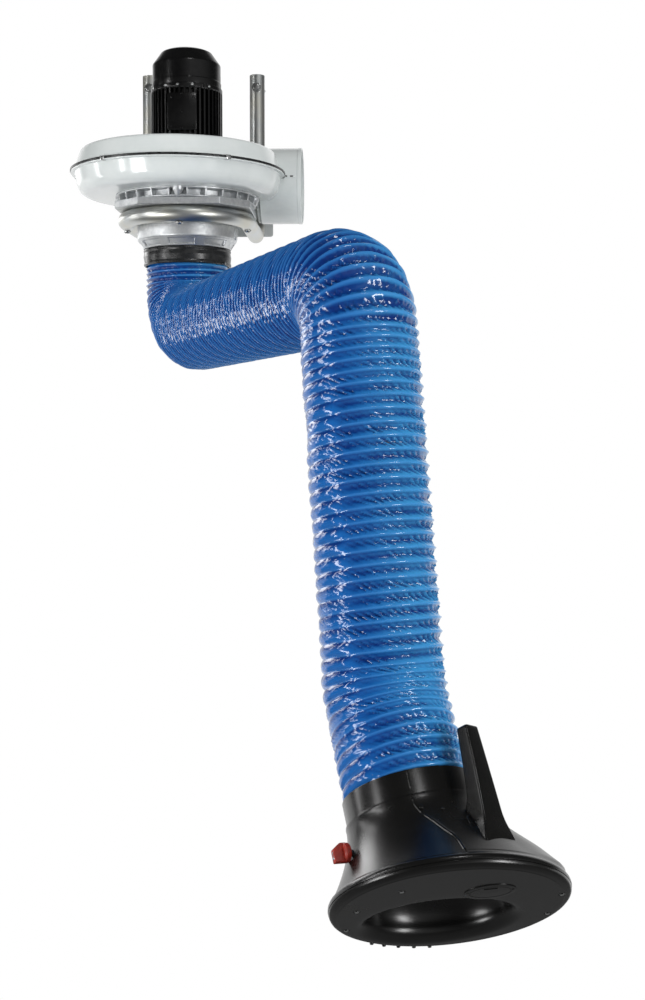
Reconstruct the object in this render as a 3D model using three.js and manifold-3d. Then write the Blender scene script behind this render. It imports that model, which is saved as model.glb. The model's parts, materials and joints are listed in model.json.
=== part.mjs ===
import * as THREE from "three";
import { mergeVertices } from "three/addons/utils/BufferGeometryUtils.js";
import Module from "manifold-3d";

// A fume extraction arm that hangs on a wall: a bent tube bracket carries a fan, and under the fan
// swivels a jointed arm inside a ribbed hose, with a hood at its end.
// Millimetres and degrees. +X is to the right, +Y into the wall, +Z up.
// The origin is the middle of the wall plate's back face.

const wasm = await Module();
wasm.setup();

// Fits
const SEAT = 0.3; // gap between pieces that rest on each other
const RUN = 0.6; // gap where one piece turns in another
const LAP = 1; // shapes that are joined run this far into each other, and cutters run past

// Hose
const HOSE_BORE = 160;
const HOSE_SKIN = 2;
const RIB_HEIGHT = 3.5;
const RIB_PITCH = 25;
const CUFF_WALL = 3;
const BEND_RADIUS = 98;
const HOOD_BEND_RADIUS = 220;

// Arm lengths between its joints, and the pose in which it is drawn
const UPPER_ARM = 1000;
const LOWER_ARM = 615;
const HOOD_DROP = 140; // hood joint to the end of the hose
const ARM_AZIMUTH = 21.9; // from straight out of the wall towards +X
const UPPER_DROOP = -0.4; // below level
const LOWER_LEAN = 11.5; // outwards from plumb
const HOOD_LEAN = 35; // outwards from plumb
const HOOD_TURN = 18.2; // hood's right side, forward from square to the arm
const SHOULDER_DROP = 289; // wall plate's middle down to the shoulder pin
const SHOULDER_STRETCH = 190; // hose that flexes, out from the shoulder
const ELBOW_STRETCH = 190;
const HOOD_STRETCH = 130;

// Inner arm
const BEAM_DIAMETER = 28;
const EYE_RADIUS = 18;
const TONGUE_THICK = 12;
const CHEEK_THICK = 6;
const PIN_DIAMETER = 12;
const PIN_HEAD = 4;
const PIN_HEAD_DIAMETER = 19;
const EYE_REACH = 36; // pin to the end of the beam
const EYE_LAP = 4; // eye plates run this far into the beams
const FORK_ROOM = 11; // edge of the eye to the fork's root
const SPIDER_SPOKE = 6;
const SPIDER_HEIGHT = 10;
const RIM_WALL = 5; // wall of the spider rings
const SPOKES = 3;
const GUIDE_HUB_WALL = 6;
const GUIDE_INSET = 60; // hose guide in from the end of its straight run

// Wall bracket
const PLATE_WIDTH = 330;
const PLATE_HEIGHT = 100;
const PLATE_THICK = 5;
const TUBE_DIAMETER = 35;
const TUBE_WALL = 2.5;
const TUBE_BEND = 55;
const LEG_DROP = 57; // wall plate's middle down to the legs
const UPRIGHT_TOP = 317;
const LEFT_TOE = 11; // left upright, in from its end of the loop
const REACH = 280; // wall to the fan's axis
const LOOP_GAP = 6; // swivel ring to the loop
const SCREW_DIAMETER = 8;
const SCREW_HEAD = 16;
const HEAD_HEIGHT = 5;
const UPRIGHT_SCREW_DROP = 30;
const LEG_BOLT_HEIGHT = 20;
const LOOP_SCREW_GRIP = 9; // loop screws, into the carrier plate

// Carrier and swivel
const CARRIER_OVERHANG = 12; // carrier plate past the legs' axes
const CARRIER_CUT = 57; // cut corners
const CARRIER_THICK = 15;
const CAST_HEIGHT = 20;
const CAST_LEDGE = 10; // cast ring's flanges past the carrier plate's flats
const CAST_FLANGE = 4;
const CAST_WEBS = 12;
const CAST_WEB_THICK = 4;
const CAST_ROOM = 3; // swivel bearing to the cast ring's bore
const BEARING_WIDTH = 10;
const BEARING_HEIGHT = 4;
const SLEEVE_WALL = 18;
const SLEEVE_FLANGE = 6;
const RING_LIP = 8.5; // swivel ring past the sleeve
const RING_HEIGHT = 29;
const RING_DROP = 69; // wall plate's middle down to the swivel ring
const CONE_HEIGHT = 18;
const CONE_SLOTS = 8;
const CONE_SLOT_WIDTH = 40;
const CONE_SLOT_HEIGHT = 9;
const CONE_SLOT_DEPTH = 4;
const SPIGOT_WALL = 3;
const SPIGOT_TAIL = 4; // spigot past the band
const BAND_HEIGHT = 36;
const BAND_WALL = 4.5;

// Fan
const CASING_DIAMETER = 440;
const CASING_SHIFT = 19; // casing's middle, left of the fan's axis
const FLANGE_LIP = 8;
const FLANGE_THICK = 3;
const SHELL_WALL = 3;
const LOWER_DEPTH = 48;
const UPPER_DEPTH = 44;
const CASING_CORNER = 32;
const SEAL_THICK = 2;
const INLET_DIAMETER = 176;
const OUTLET_DIAMETER = 165;
const OUTLET_WALL = 3;
const OUTLET_BACK = 120; // fan's axis back to the outlet's
const OUTLET_DROP = 5; // casing's flanges down to the outlet's axis
const OUTLET_START = 151;
const OUTLET_END = 242;
const OUTLET_PLATE = 9; // solid end of the outlet at the casing
const PASSAGE_EDGE = 10; // casing's top and bottom to the outlet passage
const PASSAGE_START = 55; // fan's axis to where the passage opens into the casing
const SHAFT_ROOM = 4; // shaft to its hole in the casing

// Motor and impeller
const MOTOR_DIAMETER = 132;
const FIN_HEIGHT = 10;
const FIN_THICK = 4;
const FIN_COUNT = 16;
const MOTOR_WALL = 8;
const MOTOR_HEIGHT = 124;
const MOTOR_FLANGE_DIAMETER = 180;
const MOTOR_FLANGE_THICK = 8;
const COWL_DIAMETER = 145;
const COWL_HEIGHT = 80;
const COWL_SLOPE = 30; // height of the sloped top
const COWL_TOP_DIAMETER = 100;
const COWL_WALL = 3;
const COWL_SLOTS = 8;
const COWL_SLOT_WIDTH = 10;
const COWL_SLOT_START = 17; // from the axis
const SHIELD_THICK = 6;
const SHAFT_DIAMETER = 19;
const BEARING_DIAMETER = 40;
const BEARING_LENGTH = 12;
const CORE_LENGTH = 76;
const ROTOR_DIAMETER = 70;
const BOSS_WALL = 6;
const IMPELLER_DIAMETER = 300;
const IMPELLER_SKIN = 3;
const IMPELLER_BLADES = 8;
const IMPELLER_GAP = 14; // impeller to the casing's top and bottom
const HUB_DIAMETER = 44;
const HUB_LENGTH = 26;
const NUT_HEIGHT = 10;
const NUT_DIAMETER = 30;
const COOLING_BLADES = 6;
const COOLING_HEIGHT = 24;
const COOLING_SKIN = 3;
const COOLING_HUB_WALL = 6;
const COOLING_GAP = 8; // end shield to the cooling fan
const COOLING_ROOM = 4; // cooling fan's tips in from the barrel's bore
const BOX_WIDTH = 70;
const BOX_DEPTH = 40;
const BOX_HEIGHT = 64;
const BOX_RISE = 30; // terminal box above the motor's foot
const BOX_WALL = 3;
const LID_THICK = 4;
const GLAND_DIAMETER = 20;
const GLAND_LENGTH = 22;

// Hood
const HOOD_LENGTH = 169; // hose's end to the middle of the rim
const RIM_DIAMETER = 324;
const RIM_HEIGHT = 20;
const RIM_ROLL = 6; // how far the rolled rim stands out past the cone
const RIM_BAND = 8; // upright band of the rolled rim
const RIM_SHIFT = 19; // rim's middle, right of the neck's axis
const RIM_LEAN_SIDE = 6.2;
const RIM_LEAN_FRONT = 4.2;
const NECK_WALL = 3.5;
const NECK_STEP = 2.5; // cone's top past the neck
const CUFF_DEPTH = 30; // hose inside the neck
const LEDGE_HEIGHT = 4;
const COLLAR_FLANGE = 4;
const COLLAR_STAND = 2; // collar's top above the neck
const HOOD_WALL = 3;
const HOOD_FLARE = 1.4; // power by which the hood and its throat widen along their length
const FACE_THICK = 3;
const THROAT_WIDTH = 196;
const THROAT_DEPTH = 156;
const THROAT_LEFT = 14; // throat's middle, left of the rim's
const THROAT_BACK = 45; // throat's middle, behind the rim's
const LIP = 5; // rounding of the throat's edge
const HANDLE_ANGLE = -42; // round the hood, from its right side towards the front
const HANDLE_TOP_WIDTH = 26;
const HANDLE_FOOT_WIDTH = 50;
const HANDLE_DEPTH = 18.5;
const HANDLE_GAP = 19; // room for fingers beside the neck
const HANDLE_RISE = 45; // handle's top above the neck
const HANDLE_FOOT = 120; // handle's foot below the neck's top
const LAMP_WIDTH = 68;
const LAMP_DEPTH = 52;
const LAMP_RIGHT = 49;
const LAMP_FRONT = 60;
const LAMP_THICK = 3;
const DAMPER_DROP = 80; // neck's top to the damper's spindle
const DAMPER_TURN = 25; // damper's knob, forward from the hood's left side
const SPINDLE_DIAMETER = 8;
const BLADE_GAP = 8; // blade to the throat at the spindle
const BLADE_WIDTH = 112;
const BLADE_THICK = 2;
const BLADE_HUB = 14;
const KNOB_LENGTH = 22;
const KNOB_DIAL = 7;
const KNOB_BORE = 11;
const KNOB_DIAMETER = 26;
const KNOB_BLADE = 9;
const KNOB_GAP = 3; // knob off the hood

// Facets
const ROUND = 20;
const MEDIUM = 16;
const SMALL = 8;
const HOSE_SIDES = 10;
const TUBE_SIDES = 8;
const BAR_SIDES = 12;
const NUT_SIDES = 6;
const MERGE = 1e-3;

const radians = THREE.MathUtils.degToRad;

function material(color, roughness, metalness) {
  return new THREE.MeshStandardMaterial({ color, roughness, metalness });
}

const ENAMEL = material(0xd5dad9, 0.3, 0);
const MOTOR_BLACK = material(0x141414, 0.35, 0);
const ZINC = material(0xb9bcbb, 0.3, 1);
const CAST = material(0xa9adaf, 0.5, 1);
const STEEL = material(0x9a9da0, 0.35, 1);
const ALLOY = material(0xb4b7b9, 0.4, 1);
const IRON = material(0x5a5552, 0.6, 1);
const PAINT_GREY = material(0xc2c5c3, 0.5, 0);
const VINYL = material(0x1f62ae, 0.35, 0);
const ABS = material(0x1d1d1c, 0.45, 0);
const RUBBER = material(0x1a1a1a, 0.7, 0);
const RED = material(0x9c3626, 0.5, 0);

const object = new THREE.Group();

function add(parent, name, geometry, finish) {
  const mesh = new THREE.Mesh(geometry, finish.clone());
  mesh.name = name;
  parent.add(mesh);
}

function volumeOf(position, index) {
  const [a, b, c] = [new THREE.Vector3(), new THREE.Vector3(), new THREE.Vector3()];
  let volume = 0;
  for (let i = 0; i < index.length; i += 3) {
    a.fromBufferAttribute(position, index[i]);
    b.fromBufferAttribute(position, index[i + 1]);
    c.fromBufferAttribute(position, index[i + 2]);
    volume += a.dot(b.cross(c)) / 6;
  }
  return volume;
}

// Shares the corners, drops triangles that have closed up, and turns the faces outwards.
function closed(geometry) {
  const loose = geometry.index ? geometry.toNonIndexed() : geometry;
  const bare = new THREE.BufferGeometry();
  bare.setAttribute("position", loose.getAttribute("position"));
  const merged = mergeVertices(bare, MERGE);
  const all = merged.index.array;
  const kept = [];
  for (let i = 0; i < all.length; i += 3) {
    const [a, b, c] = [all[i], all[i + 1], all[i + 2]];
    if (a !== b && b !== c && c !== a) kept.push(a, b, c);
  }
  if (volumeOf(merged.getAttribute("position"), kept) < 0) kept.reverse();
  merged.setIndex(kept);
  return merged;
}

function solidOf(geometry) {
  const shape = closed(geometry);
  const vertProperties = shape.getAttribute("position").array;
  const triVerts = new Uint32Array(shape.index.array);
  return new wasm.Manifold(new wasm.Mesh({ numProp: 3, vertProperties, triVerts }));
}

function geometryOf(solid) {
  const mesh = solid.getMesh();
  const geometry = new THREE.BufferGeometry();
  geometry.setAttribute("position", new THREE.BufferAttribute(mesh.vertProperties, 3));
  geometry.setIndex(new THREE.BufferAttribute(mesh.triVerts, 1));
  return geometry;
}

function join(first, ...others) {
  return geometryOf(others.reduce((sum, other) => sum.add(solidOf(other)), solidOf(first)));
}

function cut(base, ...tools) {
  return geometryOf(tools.reduce((rest, tool) => rest.subtract(solidOf(tool)), solidOf(base)));
}

// A circle's corners stand outside it, so that its flats touch it.
function around(radius, sides) {
  return radius / Math.cos(Math.PI / sides);
}

// The largest circle inside one whose corners lie at this radius.
function within(radius, sides) {
  return radius * Math.cos(Math.PI / sides);
}

// A solid of revolution about Z from [radius, height] points. The outline closes on itself or on the axis.
function turned(outline, sides = ROUND) {
  const points = outline.map(([radius, height]) => new THREE.Vector2(radius, height));
  return closed(new THREE.LatheGeometry(points, sides).rotateX(Math.PI / 2));
}

function ring(inner, outer, low, high, sides = ROUND) {
  const corners = [
    [inner, low],
    [outer, low],
    [outer, high],
    [inner, high],
    [inner, low],
  ];
  return turned(corners, sides);
}

function rod(radius, low, high, sides = SMALL) {
  const geometry = new THREE.CylinderGeometry(radius, radius, high - low, sides);
  return closed(geometry.rotateX(Math.PI / 2).translate(0, 0, (low + high) / 2));
}

function rodAlongX(radius, low, high, sides = SMALL) {
  return rod(radius, low, high, sides).rotateY(Math.PI / 2);
}

function rodAlongY(radius, low, high, sides = SMALL) {
  return rod(radius, -high, -low, sides).rotateX(Math.PI / 2);
}

function block(x0, x1, y0, y1, z0, z1) {
  const geometry = new THREE.BoxGeometry(x1 - x0, y1 - y0, z1 - z0);
  return closed(geometry.translate((x0 + x1) / 2, (y0 + y1) / 2, (z0 + z1) / 2));
}

function extruded(shape, depth, curveSegments = 8) {
  return closed(new THREE.ExtrudeGeometry(shape, { depth, bevelEnabled: false, curveSegments }));
}

function arc(centreR, centreZ, radius, from, to, steps) {
  const points = [];
  for (let i = 0; i <= steps; i++) {
    const angle = radians(from + ((to - from) * i) / steps);
    points.push([centreR + radius * Math.cos(angle), centreZ + radius * Math.sin(angle)]);
  }
  return points;
}

// Joins ring to ring and the last ring to the first. A ring is a middle and two half-axes.
function loft(rings, sides) {
  const positions = [];
  const index = [];
  for (const { at, u, v } of rings) {
    for (let k = 0; k < sides; k++) {
      const angle = (2 * Math.PI * k) / sides;
      const point = at.clone().addScaledVector(u, Math.cos(angle)).addScaledVector(v, Math.sin(angle));
      positions.push(point.x, point.y, point.z);
    }
  }
  rings.forEach((_, i) => {
    const here = i * sides;
    const next = ((i + 1) % rings.length) * sides;
    for (let k = 0; k < sides; k++) {
      const l = (k + 1) % sides;
      index.push(here + k, next + k, next + l, here + k, next + l, here + l);
    }
  });
  const geometry = new THREE.BufferGeometry();
  geometry.setAttribute("position", new THREE.Float32BufferAttribute(positions, 3));
  geometry.setIndex(index);
  return closed(geometry);
}

function copies(count, make) {
  return Array.from({ length: count }, (_, i) => make((2 * Math.PI * i) / count));
}

// Wall bracket
const tubeR = TUBE_DIAMETER / 2;
const boreR = HOSE_BORE / 2;
const sleeveR = boreR + SLEEVE_WALL;
const ringR = sleeveR + RING_LIP;
const legX = ringR + LOOP_GAP + tubeR;
const legZ = -LEG_DROP;
const uprightY = -(PLATE_THICK + SEAT + tubeR);
const uprightX = [-legX + LEFT_TOE, legX];
const screwR = SCREW_DIAMETER / 2;
const uprightScrewZ = UPRIGHT_TOP - UPRIGHT_SCREW_DROP;
const carrierBottom = legZ + tubeR + SEAT;
const carrierTop = carrierBottom + CARRIER_THICK;

function bracketStations() {
  const stations = [];
  const station = (x, y, z, dx, dy, dz) =>
    stations.push({ at: new THREE.Vector3(x, y, z), along: new THREE.Vector3(dx, dy, dz) });
  const bend = (x, side, angle) => {
    const [c, s] = [Math.cos(angle), Math.sin(angle)];
    const y = uprightY - TUBE_BEND + TUBE_BEND * c;
    station(x, y, legZ + TUBE_BEND - TUBE_BEND * s, 0, side * s, side * c);
  };
  const [left, right] = uprightX;
  const bendSteps = 3;
  const loopSteps = 10;
  station(left, uprightY, UPRIGHT_TOP, 0, 0, -1);
  for (let i = 0; i <= bendSteps; i++) bend(left, -1, (Math.PI / 2) * (i / bendSteps));
  for (let i = 0; i <= loopSteps; i++) {
    const angle = Math.PI * (1 + i / loopSteps);
    const [c, s] = [Math.cos(angle), Math.sin(angle)];
    station(legX * c, -REACH + legX * s, legZ, -s, c, 0);
  }
  for (let i = bendSteps; i >= 0; i--) bend(right, 1, (Math.PI / 2) * (i / bendSteps));
  station(right, uprightY, UPRIGHT_TOP, 0, 0, 1);
  return stations;
}

// A hollow tube along stations, its section carried along without twist.
function tube(stations, outer, inner, sides) {
  const side = new THREE.Vector3(1, 0, 0);
  let last = stations[0].along;
  const frames = stations.map(({ at, along }) => {
    side.applyQuaternion(new THREE.Quaternion().setFromUnitVectors(last, along));
    last = along;
    return { at, u: side.clone(), v: new THREE.Vector3().crossVectors(along, side) };
  });
  const rings = (radius) =>
    frames.map(({ at, u, v }) => ({
      at,
      u: u.clone().multiplyScalar(radius),
      v: v.clone().multiplyScalar(radius),
    }));
  return loft([...rings(outer), ...rings(inner).reverse()], sides);
}

// A screw along Y: its shank from the wall and its head at the front of what it holds.
function wallScrew(x, z, front) {
  const shank = rodAlongY(screwR, front - HEAD_HEIGHT / 2, 0);
  const head = rodAlongY(SCREW_HEAD / 2, front - HEAD_HEIGHT, front);
  return join(shank, head).translate(x, 0, z);
}

const tubeFront = uprightY - tubeR - SEAT;
const holeR = around(screwR + SEAT, SMALL);
const uprights = [
  ["left", uprightX[0]],
  ["right", uprightX[1]],
];
const loopScrews = [
  ["left", -legX, -REACH],
  ["front", 0, -REACH - legX],
  ["right", legX, -REACH],
];
const loopScrewTop = carrierBottom + LOOP_SCREW_GRIP;

function bracket() {
  const holes = [];
  for (const [, x] of uprights) {
    for (const z of [uprightScrewZ, LEG_BOLT_HEIGHT]) {
      holes.push(rodAlongY(holeR, uprightY - TUBE_DIAMETER, 0).translate(x, 0, z));
    }
  }
  for (const [, x, y] of loopScrews) {
    holes.push(rod(holeR, legZ - TUBE_DIAMETER, legZ + TUBE_DIAMETER).translate(x, y, 0));
  }
  return cut(tube(bracketStations(), tubeR, tubeR - TUBE_WALL, TUBE_SIDES), ...holes);
}

function wallPlate() {
  const plate = block(
    -PLATE_WIDTH / 2,
    PLATE_WIDTH / 2,
    -PLATE_THICK,
    0,
    -PLATE_HEIGHT / 2,
    PLATE_HEIGHT / 2,
  );
  const holes = uprights.map(([, x]) =>
    rodAlongY(holeR, -2 * PLATE_THICK, PLATE_THICK).translate(x, 0, LEG_BOLT_HEIGHT),
  );
  return cut(plate, ...holes);
}

add(object, "wall_plate", wallPlate(), PAINT_GREY);
add(object, "bracket_tube", bracket(), ZINC);
for (const [name, x] of uprights) {
  const spacer = ring(holeR, tubeR, 0, PLATE_THICK, SMALL).rotateX(Math.PI / 2);
  add(object, "upright_screw_" + name, wallScrew(x, uprightScrewZ, tubeFront), ZINC);
  add(object, "upright_spacer_" + name, spacer.translate(x, 0, uprightScrewZ), RUBBER);
  add(object, "leg_bolt_" + name, wallScrew(x, LEG_BOLT_HEIGHT, tubeFront), ZINC);
}
for (const [name, x, y] of loopScrews) {
  const headTop = legZ - tubeR - SEAT;
  const head = rod(SCREW_HEAD / 2, headTop - HEAD_HEIGHT, headTop);
  const screw = join(rod(screwR, headTop - HEAD_HEIGHT / 2, loopScrewTop), head);
  add(object, "loop_screw_" + name, screw.translate(x, y, 0), ZINC);
}

// Carrier plate, cast ring and the swivel that hangs in them, about the fan's axis
const fan = new THREE.Group();
fan.position.set(0, -REACH, 0);
object.add(fan);

const carrierHalf = legX + CARRIER_OVERHANG;
const castBottom = carrierTop + SEAT;
const castTop = castBottom + CAST_HEIGHT;
const bearingIn = around(sleeveR + RUN, ROUND);
const bearingOut = bearingIn + BEARING_WIDTH;
const bearingBottom = carrierTop + SEAT;
const flangeBottom = bearingBottom + BEARING_HEIGHT + SEAT;
const castIn = bearingOut + CAST_ROOM;
const castOut = carrierHalf + CAST_LEDGE;

function carrierPlate() {
  const half = carrierHalf;
  const flat = half - CARRIER_CUT;
  const corners = [
    [half, -flat],
    [half, flat],
    [flat, half],
    [-flat, half],
    [-half, flat],
    [-half, -flat],
    [-flat, -half],
    [flat, -half],
  ];
  const shape = new THREE.Shape(corners.map(([x, y]) => new THREE.Vector2(x, y)));
  const plate = extruded(shape, CARRIER_THICK).translate(0, 0, carrierBottom);
  const bore = rod(bearingIn, carrierBottom - LAP, carrierTop + LAP, ROUND);
  const holes = loopScrews.map(([, x, y]) =>
    rod(holeR, carrierBottom - LAP, loopScrewTop + SEAT).translate(x, y + REACH, 0),
  );
  return cut(plate, bore, ...holes);
}

// Two flanges on a wall, with upright webs between them.
function castRing() {
  const wallOut = (castIn + castOut) / 2;
  const body = turned([
    [castIn, castBottom],
    [castOut, castBottom],
    [castOut, castBottom + CAST_FLANGE],
    [wallOut, castBottom + CAST_FLANGE],
    [wallOut, castTop - CAST_FLANGE],
    [castOut, castTop - CAST_FLANGE],
    [castOut, castTop],
    [castIn, castTop],
    [castIn, castBottom],
  ]);
  const half = CAST_WEB_THICK / 2;
  const [webIn, webOut] = [within(wallOut, ROUND) - LAP, castOut - CAST_FLANGE];
  const webs = copies(CAST_WEBS, (angle) =>
    block(webIn, webOut, -half, half, castBottom + LAP, castTop - LAP).rotateZ(angle),
  );
  return join(body, ...webs);
}

function swivelSleeve() {
  return turned([
    [boreR, -RING_DROP - RING_HEIGHT],
    [ringR, -RING_DROP - RING_HEIGHT],
    [ringR, -RING_DROP],
    [sleeveR, -RING_DROP],
    [sleeveR, flangeBottom],
    [bearingOut, flangeBottom],
    [bearingOut, flangeBottom + SLEEVE_FLANGE],
    [boreR, flangeBottom + SLEEVE_FLANGE],
    [boreR, -RING_DROP - RING_HEIGHT],
  ]);
}

const cuffR = boreR + CUFF_WALL;
const cuffCorner = around(cuffR, HOSE_SIDES);
const bandIn = around(cuffCorner + SEAT, ROUND);
const bandOut = bandIn + BAND_WALL;
const spigotOut = boreR - SEAT;
const spigotIn = spigotOut - SPIGOT_WALL;
const coneTop = -RING_DROP - RING_HEIGHT - SEAT;
const coneBottom = coneTop - CONE_HEIGHT;
const bandTop = coneBottom - SEAT;
const bandBottom = bandTop - BAND_HEIGHT;
const spigotBottom = bandBottom - SPIGOT_TAIL;

// The cone carries the spigot that the hose is pushed over, and shallow slots round its outside.
function swivelCone() {
  const body = turned([
    [spigotIn, coneTop],
    [ringR, coneTop],
    [bandOut, coneBottom],
    [spigotOut, coneBottom],
    [spigotOut, spigotBottom],
    [spigotIn, spigotBottom],
    [spigotIn, coneTop],
  ]);
  const slotIn = (ringR + bandOut) / 2 - CONE_SLOT_DEPTH;
  const half = CONE_SLOT_WIDTH / 2;
  const low = (coneBottom + coneTop - CONE_SLOT_HEIGHT) / 2;
  const slots = copies(CONE_SLOTS, (angle) =>
    block(slotIn, ringR + LAP, -half, half, low, low + CONE_SLOT_HEIGHT).rotateZ(angle),
  );
  return cut(body, ...slots);
}

add(fan, "carrier_plate", carrierPlate(), CAST);
add(fan, "cast_ring", castRing(), CAST);
add(
  fan,
  "swivel_bearing",
  ring(bearingIn, bearingOut, bearingBottom, bearingBottom + BEARING_HEIGHT),
  ABS,
);
add(fan, "swivel_sleeve", swivelSleeve(), CAST);
add(fan, "swivel_cone", swivelCone(), CAST);
add(fan, "hose_band", ring(bandIn, bandOut, bandBottom, bandTop), RUBBER);

// Fan casing
const casingR = CASING_DIAMETER / 2;
const flangeR = casingR + FLANGE_LIP;
const shellBottom = castTop + SEAT;
const lowerRim = shellBottom + LOWER_DEPTH;
const sealBottom = lowerRim + SEAT;
const upperRim = sealBottom + SEAL_THICK + SEAT;
const shellTop = upperRim + UPPER_DEPTH;
const inletR = INLET_DIAMETER / 2;
const cornerSteps = 3;

// The casing's outline from its bottom on the axis to its top, grown by a margin.
function casingOutline(grow) {
  const corner = CASING_CORNER + grow;
  const middle = casingR - CASING_CORNER;
  return [
    [0, shellBottom - grow],
    ...arc(middle, shellBottom + CASING_CORNER, corner, -90, 0, cornerSteps),
    [casingR + grow, lowerRim - FLANGE_THICK - grow],
    [flangeR + grow, lowerRim - FLANGE_THICK - grow],
    [flangeR + grow, upperRim + FLANGE_THICK + grow],
    [casingR + grow, upperRim + FLANGE_THICK + grow],
    ...arc(middle, shellTop - CASING_CORNER, corner, 0, 90, cornerSteps),
    [0, shellTop + grow],
  ];
}

function bowl(floor, rim) {
  const up = Math.sign(rim - floor);
  const middle = casingR - CASING_CORNER;
  const centre = floor + up * CASING_CORNER;
  const outside = arc(middle, centre, CASING_CORNER, -90 * up, 0, cornerSteps);
  const inside = arc(middle, centre, CASING_CORNER - SHELL_WALL, 0, -90 * up, cornerSteps);
  const bowlShape = turned([
    [0, floor],
    ...outside,
    [casingR, rim - up * FLANGE_THICK],
    [flangeR, rim - up * FLANGE_THICK],
    [flangeR, rim],
    [casingR - SHELL_WALL, rim],
    ...inside,
    [0, floor + up * SHELL_WALL],
  ]);
  return bowlShape.translate(-CASING_SHIFT, 0, 0);
}

const outletR = OUTLET_DIAMETER / 2;
const outletZ = lowerRim - OUTLET_DROP;
const hornBack = OUTLET_BACK + outletR;
const passageLow = shellBottom + PASSAGE_EDGE;
const passageHigh = shellTop - PASSAGE_EDGE;

// The straight way from the scroll into the outlet.
function passage(start) {
  const half = outletR - PASSAGE_EDGE;
  const end = OUTLET_START + OUTLET_PLATE + LAP;
  return block(start, end, OUTLET_BACK - half, OUTLET_BACK + half, passageLow, passageHigh);
}

function outletDuct() {
  const at = (geometry) => geometry.translate(0, OUTLET_BACK, outletZ);
  const spigot = at(rodAlongX(outletR, OUTLET_START, OUTLET_END, ROUND));
  const hollow = at(
    rodAlongX(outletR - OUTLET_WALL, OUTLET_START + OUTLET_PLATE, OUTLET_END + LAP, ROUND),
  );
  const horn = block(
    0,
    OUTLET_START + OUTLET_WALL,
    OUTLET_BACK,
    hornBack,
    shellBottom + OUTLET_WALL,
    shellTop - OUTLET_WALL,
  );
  const casing = turned(casingOutline(SEAT)).translate(-CASING_SHIFT, 0, 0);
  return cut(join(spigot, horn), casing, hollow, passage(0));
}

const wayOut = passage(PASSAGE_START);
const inlet = rod(inletR, shellBottom - LAP, shellBottom + SHELL_WALL + LAP, ROUND);
const shaftR = SHAFT_DIAMETER / 2;
const shaftHole = rod(shaftR + SHAFT_ROOM, shellTop - SHELL_WALL - LAP, shellTop + LAP);
const seal = ring(
  casingR - SHELL_WALL,
  flangeR,
  sealBottom,
  sealBottom + SEAL_THICK,
).translate(-CASING_SHIFT, 0, 0);

add(fan, "fan_lower_shell", cut(bowl(shellBottom, lowerRim), inlet, wayOut), ENAMEL);
add(fan, "casing_seal", cut(seal, wayOut), RUBBER);
add(fan, "fan_upper_shell", cut(bowl(shellTop, upperRim), shaftHole, wayOut), ENAMEL);
add(fan, "outlet_duct", outletDuct(), ENAMEL);

// Motor
const motorFlangeBottom = shellTop + SEAT;
const motorBottom = motorFlangeBottom + MOTOR_FLANGE_THICK + SEAT;
const motorTop = motorBottom + MOTOR_HEIGHT;
const barrelR = MOTOR_DIAMETER / 2;
const finR = barrelR + FIN_HEIGHT;
const finTurn = Math.PI / FIN_COUNT; // the fins stand to either side of the terminal box
const bearingR = BEARING_DIAMETER / 2;
const bossIn = around(bearingR + SEAT, ROUND);
const bossOut = bossIn + BOSS_WALL;
const barrelIn = barrelR - MOTOR_WALL;
const hubBore = shaftR + around(SEAT, SMALL);
const rotorR = ROTOR_DIAMETER / 2;
const statorIn = around(rotorR + RUN, MEDIUM);
const statorOut = within(barrelIn, ROUND) - SEAT;
const shaftGap = around(shaftR + RUN, ROUND);
const lowBearing = motorBottom + MOTOR_WALL + SEAT;
const highBearing = motorTop - BEARING_LENGTH;
const coreBottom = (motorBottom + MOTOR_WALL + motorTop - CORE_LENGTH) / 2;
const shieldBottom = motorTop + SEAT;
const cowlBottom = motorTop + SEAT;
const cowlTop = cowlBottom + COWL_HEIGHT;
const coolingBottom = shieldBottom + SHIELD_THICK + COOLING_GAP;

function motorHousing() {
  const barrel = turned([
    [shaftGap, motorBottom],
    [barrelR, motorBottom],
    [barrelR, motorTop],
    [barrelIn, motorTop],
    [barrelIn, motorBottom + MOTOR_WALL],
    [bossOut, motorBottom + MOTOR_WALL],
    [bossOut, lowBearing + BEARING_LENGTH],
    [bossIn, lowBearing + BEARING_LENGTH],
    [bossIn, motorBottom + MOTOR_WALL],
    [shaftGap, motorBottom + MOTOR_WALL],
    [shaftGap, motorBottom],
  ]);
  const fins = copies(FIN_COUNT, (angle) => {
    const half = FIN_THICK / 2;
    const root = within(barrelR, ROUND) - LAP;
    const fin = block(root, finR, -half, half, motorBottom + MOTOR_WALL, motorTop);
    return fin.rotateZ(angle + finTurn);
  });
  return join(barrel, ...fins);
}

function endShield() {
  return turned([
    [shaftGap, shieldBottom],
    [bossIn, shieldBottom],
    [bossIn, highBearing],
    [bossOut, highBearing],
    [bossOut, shieldBottom],
    [barrelR, shieldBottom],
    [barrelR, shieldBottom + SHIELD_THICK],
    [shaftGap, shieldBottom + SHIELD_THICK],
    [shaftGap, shieldBottom],
  ]);
}

function fanCowl() {
  const [side, top] = [COWL_DIAMETER / 2, COWL_TOP_DIAMETER / 2];
  const body = turned([
    [side, cowlBottom],
    [side, cowlTop - COWL_SLOPE],
    [top, cowlTop],
    [0, cowlTop],
    [0, cowlTop - COWL_WALL],
    [top - COWL_WALL, cowlTop - COWL_WALL],
    [side - COWL_WALL, cowlTop - COWL_SLOPE],
    [side - COWL_WALL, cowlBottom],
    [side, cowlBottom],
  ]);
  const slots = copies(COWL_SLOTS, (angle) => {
    const half = COWL_SLOT_WIDTH / 2;
    const [end, low] = [top - 2 * COWL_WALL, cowlTop - 2 * COWL_WALL];
    return block(COWL_SLOT_START, end, -half, half, low, cowlTop + LAP).rotateZ(angle);
  });
  return cut(body, ...slots);
}

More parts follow.
